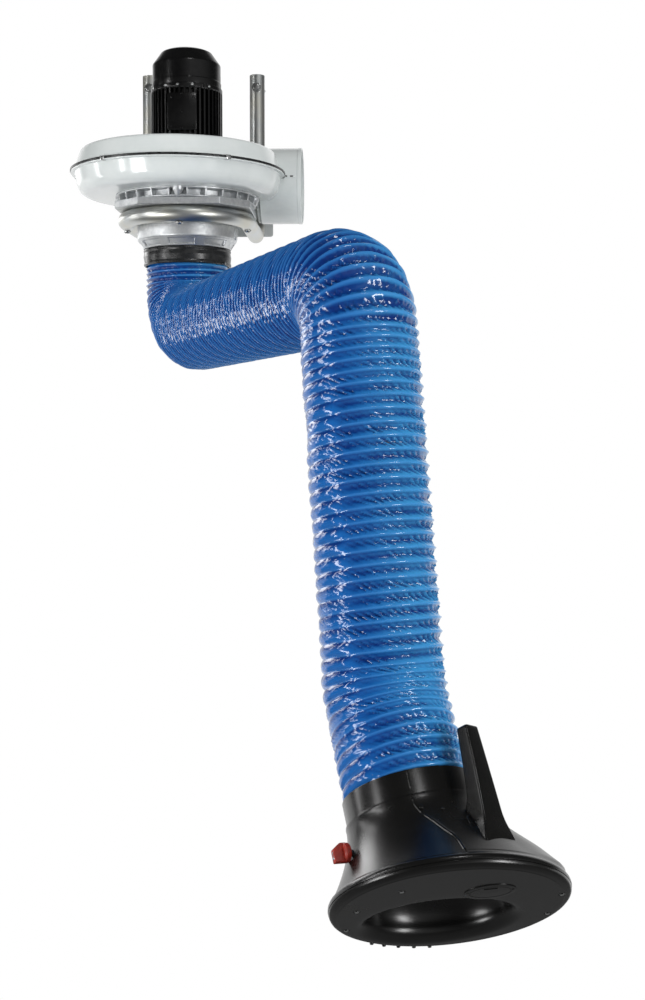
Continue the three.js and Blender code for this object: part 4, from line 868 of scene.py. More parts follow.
class ARM_OT_fan(bpy.types.Operator):
    """Builds the fan casing, its seal and clips, and the outlet"""

    bl_idname = "arm.fan"
    bl_label = "Fan"

    def execute(self, context):
        s = context.scene.extraction_arm.fan
        enamel = finish("steel_stove_enamelled_gloss", s.enamel)
        rubber = finish("rubber_moulded_black")
        form = FanForm(s)
        self.shells(s, form, enamel)
        self.seal(s, form, rubber)
        self.clips(form)
        self.outlet(s, form, enamel, rubber)
        return {"FINISHED"}

    @staticmethod
    def shells(s, form, enamel):
        """Two pressed shells with flanges, open where the outlet's horn leads off."""
        r, wall, thick = s.radius, 3 * MM, 2.6 * MM

        def bowl(floor, rim, taper, rounding):
            """A shell from its floor to the flange at its rim."""
            up = 1 if rim > floor else -1
            back, inside = rim - thick * up, floor + wall * up
            outline = [(0, floor, 0), (r - taper, floor, rounding), (r, back, 1.5 * MM)]
            outline += [(form.flange, back, 0.8 * MM), (form.flange, rim, 0.6 * MM)]
            outline += [(r - wall, rim, 0.5 * MM), (r - wall - taper, inside, rounding - wall)]
            outline.append((0, inside, 0))
            return lathe(outline, 240)

        def in_horn(x, y, z):
            outer = math.hypot(x, y) > r - 8 * MM and x + form.x > 20 * MM
            level = form.low + 8 * MM < z < form.high - 8 * MM
            return outer and level and -68 * MM < y + FAN_AXIS.y - form.outlet_y < 66 * MM

        lower = bowl(form.low, form.seal_low - 0.3 * MM, 10 * MM, s.corner)
        upper = bowl(form.high, form.seal_high + 0.3 * MM, 13 * MM, 12 * MM)
        for name, (points, faces) in (("lower", lower), ("upper", upper)):
            kept = [face for face in faces if not in_horn(*points[face].mean(axis=0))]
            hides = [f"fan_{name}_shell"]
            piece(f"fan_shell_{name}", (points, kept), enamel, "bracket", hides, form.at)

    @staticmethod
    def seal(s, form, rubber):
        """The seal between the flanges, with a bead round it."""
        low, high, edge = form.seal_low, form.seal_high, form.flange
        outline = near(s.radius, low, (-6, 0, 0.3)) + near(edge, low, (-0.6, 0, 0.3), (1.4, -0.2, 1.2))
        outline += near(edge, high, (1.4, 2.4, 1.4), (-0.6, 2.4, 0.8), (-0.6, 0, 0.3))
        outline += near(s.radius, high, (-6, 0, 0.3))
        piece("fan_seal_ring", lathe(outline, 240), rubber, "bracket", ["casing_seal"], form.at)

    @staticmethod
    def clips(form):
        """Bent strips that hold the two flanges together."""
        outside = ((-9, 6.2, 0.8), (1.6, 4.4, 1), (1.6, -4.4, 1), (-4, -5.4, 0.5))
        inside = ((-4, -4.4, 0.3), (0.7, -3.8, 0.3), (0.7, 3.8, 0.3), (-9, 5.2, 0.3))
        side = near(form.flange, form.seam, *outside, *inside)
        strip = moved(prism(rounded(side, 2), -5 * MM, 5 * MM, 0.25 * MM), STANDING)
        clips = [moved(strip, about_z(angle - 90)) for angle in (34, -34, 96, -96, 158, -158)]
        bright = finish("steel_zinc_plated_fastener")
        piece("fan_flange_clips", together(*clips), bright, "bracket", matrix=form.at)

    @staticmethod
    def outlet(s, form, enamel, rubber):
        """The round outlet, the horn that leads to it, the seam along its front and the seal's ends."""
        out, start, stop = s.outlet_radius, s.outlet_start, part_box("outlet_duct")[1].x
        y, z, low, high = form.outlet_y, form.outlet_z, form.low, form.high
        front, rear = y - out, y + out
        outline = near(out, start, (-3, -6, 0.5), (-9, -7, 1), (0, 0, 5))
        outline += near(out, stop, (0, -9, 1.2), (0.8, -7.5, 1.2), (0.8, -0.2, 1.4), (-2.4, -0.2, 1))
        outline += near(out, start, (-2.4, -6, 0.5))
        along_x = Matrix.Rotation(math.radians(90), 4, "Y")
        duct = moved(lathe(outline), Matrix.Translation((0, y, z)) @ along_x)
        # Each section of the horn in millimetres: place along it, front before the outlet's axis,
        # rear in from the outlet's, foot and head in from the casing's, and rounding.
        rows = ((20, 20, 26, 6, 6, 10), (60, 40, 6, 4, 4, 12), (110, 60, 1, 3, 3, 16))
        rows += ((140, 70, 0, 1, 1, 26), (150, 78, 0, -24, -20, 60))
        horn = []
        for x, ahead, short, foot, head, rounding in rows:
            y0, y1, z0, z1 = y - ahead * MM, rear - short * MM, low + foot * MM, high - head * MM
            horn.append(horn_section(x * MM, y0, y1, z0, z1, rounding * MM))
        horn.append(horn_section(153 * MM, front, rear, z - out, z + out, out))

        def strip(x0, x1, proud, z0, z1, bevel):
            """A thin strip along the outlet's front, its heights in millimetres from the casing's seam."""
            y0, y1 = front - proud * MM, front + 4 * MM
            return box(x0, x1, y0, y1, form.seam + z0 * MM, form.seam + z1 * MM, bevel * MM)

        seam = strip(start + 6 * MM, stop - 10 * MM, 0.7, -0.7, 0.7, 0.3)
        piece("fan_outlet", together(duct, loft(horn), seam), enamel, "bracket", ["outlet_duct"])
        ends = [strip(x0 * MM, x1 * MM, 1.4, 0.2, 3.2, 0.8) for x0, x1 in ((204, 213), (219, 226))]
        piece("fan_outlet_seal_ends", together(*ends), rubber, "bracket")


# Motor


class ARM_OT_motor(bpy.types.Operator):
    """Builds the finned motor, its cowl, flange and terminal box"""

    bl_idname = "arm.motor"
    bl_label = "Motor"

    def execute(self, context):
        s = context.scene.extraction_arm.motor
        black = finish("iron_cast_gloss_painted", s.paint)
        bright = finish("steel_zinc_plated_fastener")
        self.flange(s, black, bright)
        self.barrel(s, black, bright)
        self.cowl(s, black)
        self.terminal_box(black, bright)
        self.gland()
        return {"FINISHED"}

    @staticmethod
    def flange(s, black, bright):
        """The foot flange and its four screws."""
        low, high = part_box("motor_flange")
        wide = (high.x - low.x) / 2
        outline = near(0, low.z, (0, 0, 0)) + near(wide, low.z, (0, 0, 0.8)) + near(wide, high.z, (0, 0, 1.8))
        outline += near(s.barrel, high.z, (4, 0, 2), (0, 3, 1)) + near(0, high.z, (0, 3, 0))
        plate = lathe(outline, 96)
        piece("motor_foot_flange", plate, black, "bracket", ["motor_flange"], AT_FAN)
        head = moved(hex_screw(5.5 * MM, 4.5 * MM), Matrix.Translation((wide - 9 * MM, 0, high.z)))
        heads = together(*copies(head, 4, 45))
        piece("motor_flange_screws", heads, bright, "bracket", matrix=AT_FAN)

    @staticmethod
    def barrel(s, black, bright):
        """The finned barrel between foot and collar, with lugs, a pad at the front and screws."""
        low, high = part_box("motor_housing")
        tooth = 360 / s.fin_count
        outline = []
        for i in range(s.fin_count):
            for turn, radius in ((-0.30, s.barrel), (-0.17, s.fins), (0.17, s.fins), (0.30, s.barrel)):
                outline.append(ray((i + 0.5 + turn) * tooth) * radius)
        fins = prism(outline, low.z + 5 * MM, high.z - 10 * MM, 0)
        collar = near(0, high.z, (0, -11, 0)) + near(s.fins, high.z, (-2, -11, 1), (0, -8, 1.5), (0, 0, 1.5))
        collar += near(0, high.z, (0, 0, 0))
        foot = near(0, low.z, (0, 0, 0)) + near(s.fins, low.z, (-1, 0, 0.8), (-1, 6, 1.2))
        foot += near(0, low.z, (0, 6, 0))
        lower = lathe(near(0, low.z, (0, 0, 0), (7, 0, 1), (7, 10, 2), (0, 10, 0)), 24)
        upper = lathe(near(0, high.z, (0, -12, 0), (7, -12, 2), (7, 0, 1), (0, 0, 0)), 24)
        lug = moved(together(lower, upper), Matrix.Translation((s.fins - 3 * MM, 0, 0)))
        face = -s.fins - 2.5 * MM
        pad = box(-31 * MM, 31 * MM, face, -s.barrel, low.z + 24 * MM, high.z - 22 * MM, 3 * MM)
        whole = together(fins, lathe(collar, 96), lathe(foot, 96), pad, *copies(lug, 4, 38))
        piece("motor_barrel", whole, black, "bracket", ["motor_housing"], AT_FAN)

        # Screws of the pad, with one under it between the fins.
        screws = []
        under = 1 * MM - s.fins
        for x, z, y in (
            (-22, 32, face), (24, 32, face), (-22, 92, face), (24, 92, face),
            (0, 20, under), (0, 62, face), (0, 100, face), (0, 28, face),
        ):
            at = facing((x * MM, y, low.z + z * MM), FRONT, 0.4)
            screws.append(moved(pan_screw(2.6 * MM, 2.2 * MM), at))
        piece("motor_pad_screws", together(*screws), black, "bracket", matrix=AT_FAN)
        caps = []
        for angle in (-148, -118, -97, -74, -45, 38, 142, 90):
            out = ray(angle)
            at = facing(out * (s.fins - 0.4 * MM) + UP * (high.z - 4.5 * MM), out, 0.3)
            caps.append(moved(pan_screw(3.4 * MM, 3.2 * MM), at))
        piece("motor_cap_screws", together(*caps), bright, "bracket", matrix=AT_FAN)

    @staticmethod
    def cowl(s, black):
        """The fan cowl, with a sloped edge and slots in its flat top."""
        low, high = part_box("fan_cowl")
        slot_count = 24

        def slots(rings):
            """Sinks slots into the flat top, between its middle and its edge."""
            radius = np.hypot(rings[..., 0], rings[..., 1])
            angle = np.arctan2(rings[..., 1], rings[..., 0])
            share = (angle * slot_count / (2 * math.pi)) % 1.0
            inside = np.clip((0.30 - np.abs(share - 0.5)) / 0.06, 0, 1)
            top = rings[..., 2] > high.z - 2 * MM
            belt = np.clip((radius - 16 * MM) / MM, 0, 1) * np.clip((42 * MM - radius) / MM, 0, 1)
            made = rings.copy()
            made[..., 2] -= np.where(top, 3 * MM * inside * belt, 0)
            return made

        slope = high.z - s.cowl_slope
        outline = near(s.cowl, low.z, (-2, 0, 0.4), (1, 0, 0.6), (1, 12, 0.8), (0, 13.5, 0.8))
        outline += near(s.cowl, slope, (0, 0, 7)) + near(s.cowl_top, high.z, (4, -4, 9))
        outline += [(r, high.z, 0) for r in np.linspace(s.cowl_top - 6 * MM, 8 * MM, 19)]
        outline += near(0, high.z, (0, 0, 0), (0, -3.5, 0)) + near(s.cowl_top, high.z, (-4, -3.5, 2))
        outline += near(s.cowl, slope, (-3, -2, 4))
        whole = lathe(outline, 288, slots)
        piece("motor_cowl", whole, black, "bracket", ["fan_cowl"], AT_FAN)

    @staticmethod
    def terminal_box(black, bright):
        """The terminal box, its lid and the lid's screws."""
        low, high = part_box("terminal_box")
        body = box(low.x, high.x, low.y, high.y, low.z, high.z, 2.5 * MM, 3)
        piece("motor_terminal_box", body, black, "bracket", ["terminal_box"])
        low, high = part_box("terminal_lid")
        lid = box(low.x - 1 * MM, high.x + 1 * MM, low.y, high.y + 1 * MM, low.z, high.z, 1.4 * MM, 3)
        piece("motor_terminal_lid", lid, black, "bracket", ["terminal_lid"])
        heads = []
        for x in (low.x + 6 * MM, high.x - 6 * MM):
            for y in (low.y + 8 * MM, high.y - 6 * MM):
                heads.append(moved(pan_screw(2.6 * MM, 2 * MM), Matrix.Translation((x, y, high.z))))
        piece("motor_lid_screws", together(*heads), bright, "bracket")

    @staticmethod
    def gland():
        """The cable gland: a nut on a dome with a bore for the cable."""
        low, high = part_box("cable_gland")
        r, bore = (high.x - low.x) / 2, 3.5 * MM
        nut = prism(hexagon(r), high.z - 8 * MM, high.z - 1 * MM, 0.8 * MM)
        outline = near(bore, low.z, (0, 0, 0.6)) + near(r * 0.7, low.z, (0, 0, 2))
        outline += near(r * 0.92, low.z, (0, 6, 2)) + near(r * 0.92, high.z, (0, -8, 0.4))
        outline += near(r * 0.8, high.z, (0, 0, 0.4)) + near(bore, high.z, (0, 0, 0.4))
        whole = together(nut, lathe(outline, 32))
        at = Matrix.Translation(((low.x + high.x) / 2, (low.y + high.y) / 2, 0))
        nylon = finish("nylon_moulded_black")
        piece("motor_cable_gland", whole, nylon, "bracket", ["cable_gland"], at)


# Hose

HOSE_SIDES = 270
HOSE_STEP = 1.75 * MM  # between the rings of the skin
TABLE = 16384  # random heights along the wire before they repeat


class Route:
    """The hose's middle line: straight lines through points, with arcs at the corners."""

    def __init__(self, points, bends):
        self.parts = []  # run at its start, start, heading, and an arc's inward heading and radius
        self.corners = []  # runs at the middles of the arcs
        self.length = 0.0
        start = points[0]
        for before, here, after, bend in zip(points, points[1:], points[2:], bends):
            heading, leaving = (here - before).normalized(), (after - here).normalized()
            turn = heading.angle(leaving)
            tangent = bend * math.tan(turn / 2)
            self.add((here - start).length - tangent, start, heading)
            self.corners.append(self.length + bend * turn / 2)
            inward = (leaving - heading * leaving.dot(heading)).normalized()
            self.add(bend * turn, here - heading * tangent, heading, inward, bend)
            start = here + leaving * tangent
        self.add((points[-1] - start).length, start, (points[-1] - points[-2]).normalized())

    def add(self, run, start, heading, inward=None, radius=0.0):
        self.parts.append((self.length, start, heading, inward, radius))
        self.length += run

    def at(self, run):
        """The point at a run along the route, and the heading there."""
        begin, start, heading, inward, radius = [p for p in self.parts if p[0] <= run + 1e-9][-1]
        if inward is None:
            return start + heading * (run - begin), heading
        turn = (run - begin) / radius
        point = start + inward * radius * (1 - math.cos(turn)) + heading * radius * math.sin(turn)
        return point, heading * math.cos(turn) + inward * math.sin(turn)

    def run_to(self, point):
        """The run along the route to a point on one of its straight lines."""
        best = None
        for begin, start, heading, inward, _ in self.parts:
            run = (point - start).dot(heading)
            off = (point - start - heading * run).length
            if inward is None and off < 1e-5 and run > -1e-6:
                best = begin + run
        return best


def smooth(low, high, value):
    t = np.clip((value - low) / (high - low), 0, 1)
    return t * t * (3 - 2 * t)


def knots(along, size, seed):
    """Random heights from -1 to 1 at even steps along a line, with straight runs between them."""
    table = np.random.default_rng(seed).uniform(-1, 1, TABLE)
    place = along / size
    first = np.floor(place).astype(int)
    t = place - first
    return table[first % TABLE] * (1 - t) + table[(first + 1) % TABLE] * t


def waves(angle, along, seed, turns, size, count=6):
    """A sum of waves with random headings that closes round the hose, from about -1 to 1."""
    random = np.random.default_rng(seed)
    total = np.zeros(np.broadcast(angle, along).shape)
    for _ in range(count):
        whole = int(random.integers(-turns, turns + 1))
        across = 2 * math.pi / (size * random.uniform(0.7, 2.2)) * random.choice([-1, 1])
        total += np.sin(whole * angle + across * along + random.uniform(0, 2 * math.pi))
    return total / math.sqrt(count)


def hump(distance, width):
    return np.exp(-((distance / width) ** 2))


def wire_pitch(s, route, stations):
    """The wire's pitch along the hose: close at the band and in the bends, wide on the runs."""
    shoulder, elbow, _ = route.corners
    rows = [(0, s.pitch_band), (0.036, s.pitch_band), (0.10, s.pitch_band * 1.2)]
    rows += [(shoulder, s.pitch_elbow), (shoulder + 0.1, s.pitch_upper), (elbow - 0.12, s.pitch_upper)]
    rows += [(elbow, s.pitch_elbow), (elbow + 0.12, s.pitch_elbow * 1.25), (elbow + 0.2, s.pitch_lower)]
    rows.append((route.length, s.pitch_lower))
    return np.interp(stations, *zip(*rows))


def slanting_folds(s, along, share, pitch):
    """Spare skin in folds across the valley between two turns: each rises slowly and drops steeply."""
    slant = along + 1.8 * (share - 0.5) * pitch
    slant = slant + 0.5 * s.crease_long * knots(along, 3 * s.crease_long, 11)
    number = np.floor(slant / s.crease_long).astype(int)
    tooth = slant / s.crease_long - number
    height = np.random.default_rng(12).uniform(0.1, 1, TABLE)[number % TABLE]
    top = 0.84  # share of a fold's length where it is highest
    folds = np.where(tooth < top, 2 * tooth / top - 1, 1 - 2 * (tooth - top) / (1 - top)) * height
    return folds * smooth(0.10, 0.34, share) * smooth(0.10, 0.34, 1 - share)


def flat_facets(s, along, share, lines=5):
    """Flat facets between the wires, with their corners on lines that follow the wire."""
    heights = [np.zeros_like(share)]
    for k in range(1, lines):
        bend = knots(along + k * 0.4 * s.crease_long, 0.8 * s.crease_long, 100 + k)
        heights.append(np.sign(bend) * np.clip((np.abs(bend) - 0.35) / 0.65, 0, 1))
    heights = np.stack(heights + heights[:1])
    low = np.clip(np.floor(share * lines).astype(int), 0, lines - 1)
    part = share * lines - low
    rows, columns = np.indices(share.shape)
    return heights[low, rows, columns] * (1 - part) + heights[low + 1, rows, columns] * part


def hose_skin(s, route):
    """The skin's points in rows along the route, and the marks that its material reads."""
    elbow = route.corners[1]
    stations = np.linspace(0, route.length, int(route.length / HOSE_STEP) + 1)
    points, heads = (np.array(rows) for rows in zip(*(route.at(run) for run in stations)))
    side = np.array(ARM_SIDE)
    normal = np.cross(side, heads)
    normal /= np.linalg.norm(normal, axis=1)[:, None]
    c, q = circle(HOSE_SIDES)
    ring = normal[:, None, :] * c[None, :, None] + side[None, None, :] * q[None, :, None]

    # Places on the skin: angle and run, turns of wire wound up to there, and share of the way from
    # one turn of wire to the next.
    a, run = (np.arange(HOSE_SIDES) * 2 * math.pi / HOSE_SIDES)[None, :], stations[:, None]
    pitch = wire_pitch(s, route, stations)
    wound = np.concatenate([[0], np.cumsum(np.diff(stations) / pitch[1:])])
    pitch = pitch[:, None]
    turns = wound[:, None] - a / (2 * math.pi)
    share = turns % 1.0
    past_wire = share * pitch
    from_wire = np.minimum(share, 1 - share) * pitch
    along = (2 * math.pi * np.floor(turns) + a) * s.crest

    # The skin has more room outside a bend and less inside it.
    plain = points[:, None, :] + ring * s.crest
    spacing = np.linalg.norm(np.gradient(plain, axis=0), axis=2) / np.gradient(stations)[:, None]
    wide = np.clip(spacing * pitch / s.pitch_lower, 0.06, 1.4)

    # Slack on the left of the lower run, taut elsewhere.
    right = ring[:, :, 0]
    left = smooth(0.3, 0.75, -right) * smooth(elbow - 0.05, elbow + 0.15, run)
    slack = np.clip(left * (1 + 0.25 * waves(a, run, 3, 3, 0.16)), 0, 1)
    upper = 1 - smooth(elbow - 0.15, elbow + 0.05, run)
    depth = 0.95 + 0.12 * knots(along, 2.5 * s.crease_long, 7)
    taut_panel = 1 - np.abs(2 * share - 1) ** 1.15
    slack_panel = np.sqrt(np.clip(1 - (2 * share - 1) ** 2, 0, 1))
    taut = -s.sag * taut_panel * depth * wide * (1 + 0.35 * upper)
    full = -5.0 * MM + s.bulge * slack_panel * depth * np.sqrt(wide)

    folds, facets = slanting_folds(s, along, share, pitch), flat_facets(s, along, share)
    crumple = folds * (1 - 0.9 * slack) + facets * (0.14 + 0.08 * slack)
    amount = 0.45 + 0.6 * smooth(-0.5, 0.8, waves(a, run, 31, 5, 0.07))
    wire = 0.8 * MM
    radius = s.crest - wire + taut * (1 - slack) + full * slack
    radius = radius + s.crease * amount * crumple * np.sqrt(wide) + wire * hump(from_wire, 1.2 * MM)
    # The ends lie flat under the band and inside the neck.
    held = smooth(0.030, 0.046, run) * smooth(0, 0.02, route.length - s.cuff + 0.012 - run)
    under_band, in_neck = 85 * MM, 82.5 * MM
    flat = np.where(run < route.length / 2, under_band, in_neck)
    radius = flat + (radius - flat) * held

    # Painted shade: a dark line just under each turn of wire, where the skin turns in, and darker
    # valleys on the upper run and on the slack side, which see less light.
    under = hump(past_wire - 3.4 * MM, 1.6 * MM) * (0.6 + 0.4 * upper)
    painted_valley_shade = ((s.crest - radius) / s.sag) ** 2 * (1 + 2 * upper)
    shade = 0.9 * slack * hump(past_wire - 6 * MM, 4 * MM)
    marks = {
        # The crest mark pales the wire's line: partly the wire under the film, partly a painted highlight.
        "crest": 0.6 * hump(from_wire, 1.4 * MM) * held,
        "painted_shade": np.clip(painted_valley_shade + under + shade, 0, 1) * held,
        # The right mark lets the material paint light on the skin's right side.
        "right": right,
    }
    lay = np.stack(np.broadcast_arrays(s.crest * np.cos(a), s.crest * np.sin(a), run), -1)
    return points[:, None, :] + ring * radius[:, :, None], marks, lay


class ARM_OT_hose(bpy.types.Operator):
    """Builds the ribbed hose in five pieces: two straight runs that ride on the arms, and three bends that are
    attached to no body
    """

    bl_idname = "arm.hose"
    bl_label = "Hose"

    STRETCH = 190 * MM  # hose that bends on each side of shoulder and elbow
    HOOD_STRETCH = 130 * MM  # hose that bends before the hood's joint

    def execute(self, context):
        sizes = context.scene.extraction_arm
        s, neck = sizes.hose, sizes.hood.neck_drop
        stretch, hood_stretch = self.STRETCH, self.HOOD_STRETCH
        film = vinyl(s.skin)
        shoulder, elbow, wrist = joint_at("shoulder"), joint_at("elbow"), joint_at("hood_tilt")
        top = Vector((shoulder.x, shoulder.y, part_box("hose_band")[1].z))
        hood_axis = -joint_axis("hood_turn")
        end = wrist + hood_axis * (neck + s.cuff)
        down = (shoulder - top).normalized()
        upper, lower = (elbow - shoulder).normalized(), (wrist - elbow).normalized()
        route = Route([top, shoulder, elbow, wrist, end], [s.bend, s.bend, s.hood_bend])
        skin = hose_skin(s, route)
        borders = [0.0]
        for point in (
            shoulder + upper * stretch,
            elbow - upper * stretch,
            elbow + lower * stretch,
            wrist - lower * hood_stretch,
        ):
            borders.append(route.run_to(point))
        borders.append(route.length)
        rows = [int(round(run / route.length * (len(skin[0]) - 1))) for run in borders]

        # Each piece: name, node, bodies, and for a bend its corner, headings and lengths either side.
        shoulder_bend = (shoulder, down, upper, (top - shoulder).length, stretch)
        elbow_bend = (elbow, upper, lower, stretch, stretch)
        hood_bend = (wrist, lower, hood_axis, hood_stretch, neck)
        plan = (
            ("hose_shoulder", "hose_shoulder_bend", ("swivel", "upper_arm"), shoulder_bend),
            ("hose_upper", "hose_upper_run", "upper_arm", None),
            ("hose_elbow", "hose_elbow_bend", ("upper_arm", "lower_arm"), elbow_bend),
            ("hose_lower", "hose_lower_run", "lower_arm", None),
            ("hose_wrist", "hose_hood_bend", ("lower_arm", "hood_hanger"), hood_bend),
        )
        for (name, hides, bodies, bend), begin, last in zip(plan, rows, rows[1:]):
            made = self.skin_piece(name, skin, slice(begin, last + 1), film)
            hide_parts(hides)
            if bend is None:
                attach(made, bodies)
                continue
            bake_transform(made)
        return {"FINISHED"}

    @staticmethod
    def skin_piece(name, skin, rows, film):
        """The object of some rows of the skin, with the marks on its points."""
        grid, marks, lay = skin
        points, faces = loft(grid[rows])
        mesh = bpy.data.meshes.new(name)
        mesh.from_pydata(points.tolist(), [], faces)
        for field, values in marks.items():
            mark = mesh.attributes.new(field, "FLOAT", "POINT")
            mark.data.foreach_set("value", values[rows].astype(np.float32).ravel())
        mark = mesh.attributes.new("lay", "FLOAT_VECTOR", "POINT")
        mark.data.foreach_set("vector", lay[rows].astype(np.float32).ravel())
        mesh.shade_smooth()
        made = bpy.data.objects.new(name, mesh)
        bpy.context.scene.collection.objects.link(made)
        mesh.materials.append(film)
        return made

    @staticmethod
    def bend_ends(reach, corner, into, out, before, after):
        """Where a bend starts and ends, taking in all skin within reach of the route."""
        middle = (into + out).normalized()
        tilt = math.sin(into.angle(out) / 2) * reach
        start = corner - middle * (before * into.dot(middle) - tilt)
        stop = corner + middle * (after * out.dot(middle) - tilt)
        return start, stop


# Hood


class HoodForm:
    """The hood's rings: level at the neck, and leaning with the rim at the mouth."""

    FLARE = 1.4

    def __init__(self, s, count=256):
        self.s = s
        self.count = count
        front, side = math.radians(-s.lean_front), math.radians(s.lean_side)
        self.lean = Matrix.Rotation(front, 3, "X") @ Matrix.Rotation(side, 3, "Y")
        self.middle = Vector((s.rim_shift, 0, -s.rim_drop))

    def level(self, height, radius):
        return level_ring(radius, height, self.count)

    def rim(self, height, width, depth=None, right=0.0, back=0.0, count=None):
        """An oval ring in the rim's leaning plane, or at a height above it."""
        c, q = circle(count or self.count)
        depth = width if depth is None else depth
        flat = [width * c + right, depth * q + back, np.full(len(c), height)]
        return np.stack(flat, -1) @ np.array(self.lean).T + np.array(self.middle)

    def on_rim(self, x, y, height):
        return self.lean @ Vector((x, y, height)) + self.middle

    def cone(self, head, foot, share, shift=None):
        """A ring of the flaring cone between a level ring and a rim ring. Shift is its share sideways."""
        aside = share if shift is None else shift
        top, end = head.mean(axis=0), foot.mean(axis=0)
        middle = top + (end - top) * np.array([aside, aside, share])
        grow = share**self.FLARE
        return middle + (head - top) * (1 - grow) + (foot - end) * grow

    def swollen(self, head, foot, share):
        """A ring of the cone's outside, with the swelling over the lamp's place."""
        c, q = circle(self.count)
        ring = self.cone(head, foot, share)
        out = ring - ring.mean(axis=0)
        out /= np.linalg.norm(out, axis=1)[:, None]
        return ring + out * self.swell(np.degrees(np.arctan2(q, c)), share)[:, None]

    def outside(self, angle, share, lift=0.0):
        """A point on the outside: share from -1 to 0 goes down the neck, 0 to 1 down the cone."""
        s, way = self.s, ray(angle)
        if share < 0:
            return way * (s.neck + lift) - UP * (s.shoulder_drop + share * (s.shoulder_drop - s.neck_drop))
        head, foot = -UP * (s.shoulder_drop + s.step), self.on_rim(0, 0, s.rim_height)
        wide = s.rim_radius - s.rim_roll
        edge = self.on_rim(wide * way.x, wide * way.y, s.rim_height) - foot
        grow = share**self.FLARE
        out = way * (s.neck + s.step) * (1 - grow) + edge * grow
        return head.lerp(foot, share) + out + out.normalized() * (lift + float(self.swell(angle, share)))

    def swell(self, angle, share):
        """How far the cone swells out over the lamp's place, on the right."""
        off = (angle - self.s.swell_angle + 180) % 360 - 180
        across = np.clip(1 - (off / 44) ** 2, 0, 1) ** 2
        down = smooth(0.35, 0.75, share) * smooth(0, 0.12, 1.02 - share)
        return self.s.swell * across * down

    def ridge(self, way, radius, count=72):
        """A rounded ridge over the outside through pairs of angle and share, thin at its ends."""
        angles, shares = np.array(way).T
        place = np.linspace(0, len(way) - 1, count)
        number = np.arange(len(way))
        pairs = zip(np.interp(place, number, angles), np.interp(place, number, shares))
        points, ring = around([tuple(self.outside(a, t, -0.3 * radius)) for a, t in pairs], 14)
        ends = np.minimum(np.arange(count), np.arange(count)[::-1]) / 10
        radii = radius * np.sqrt(np.clip(ends, 0.02, 1))
        return loft(points[:, None, :] + ring * radii[:, None, None], caps=True)


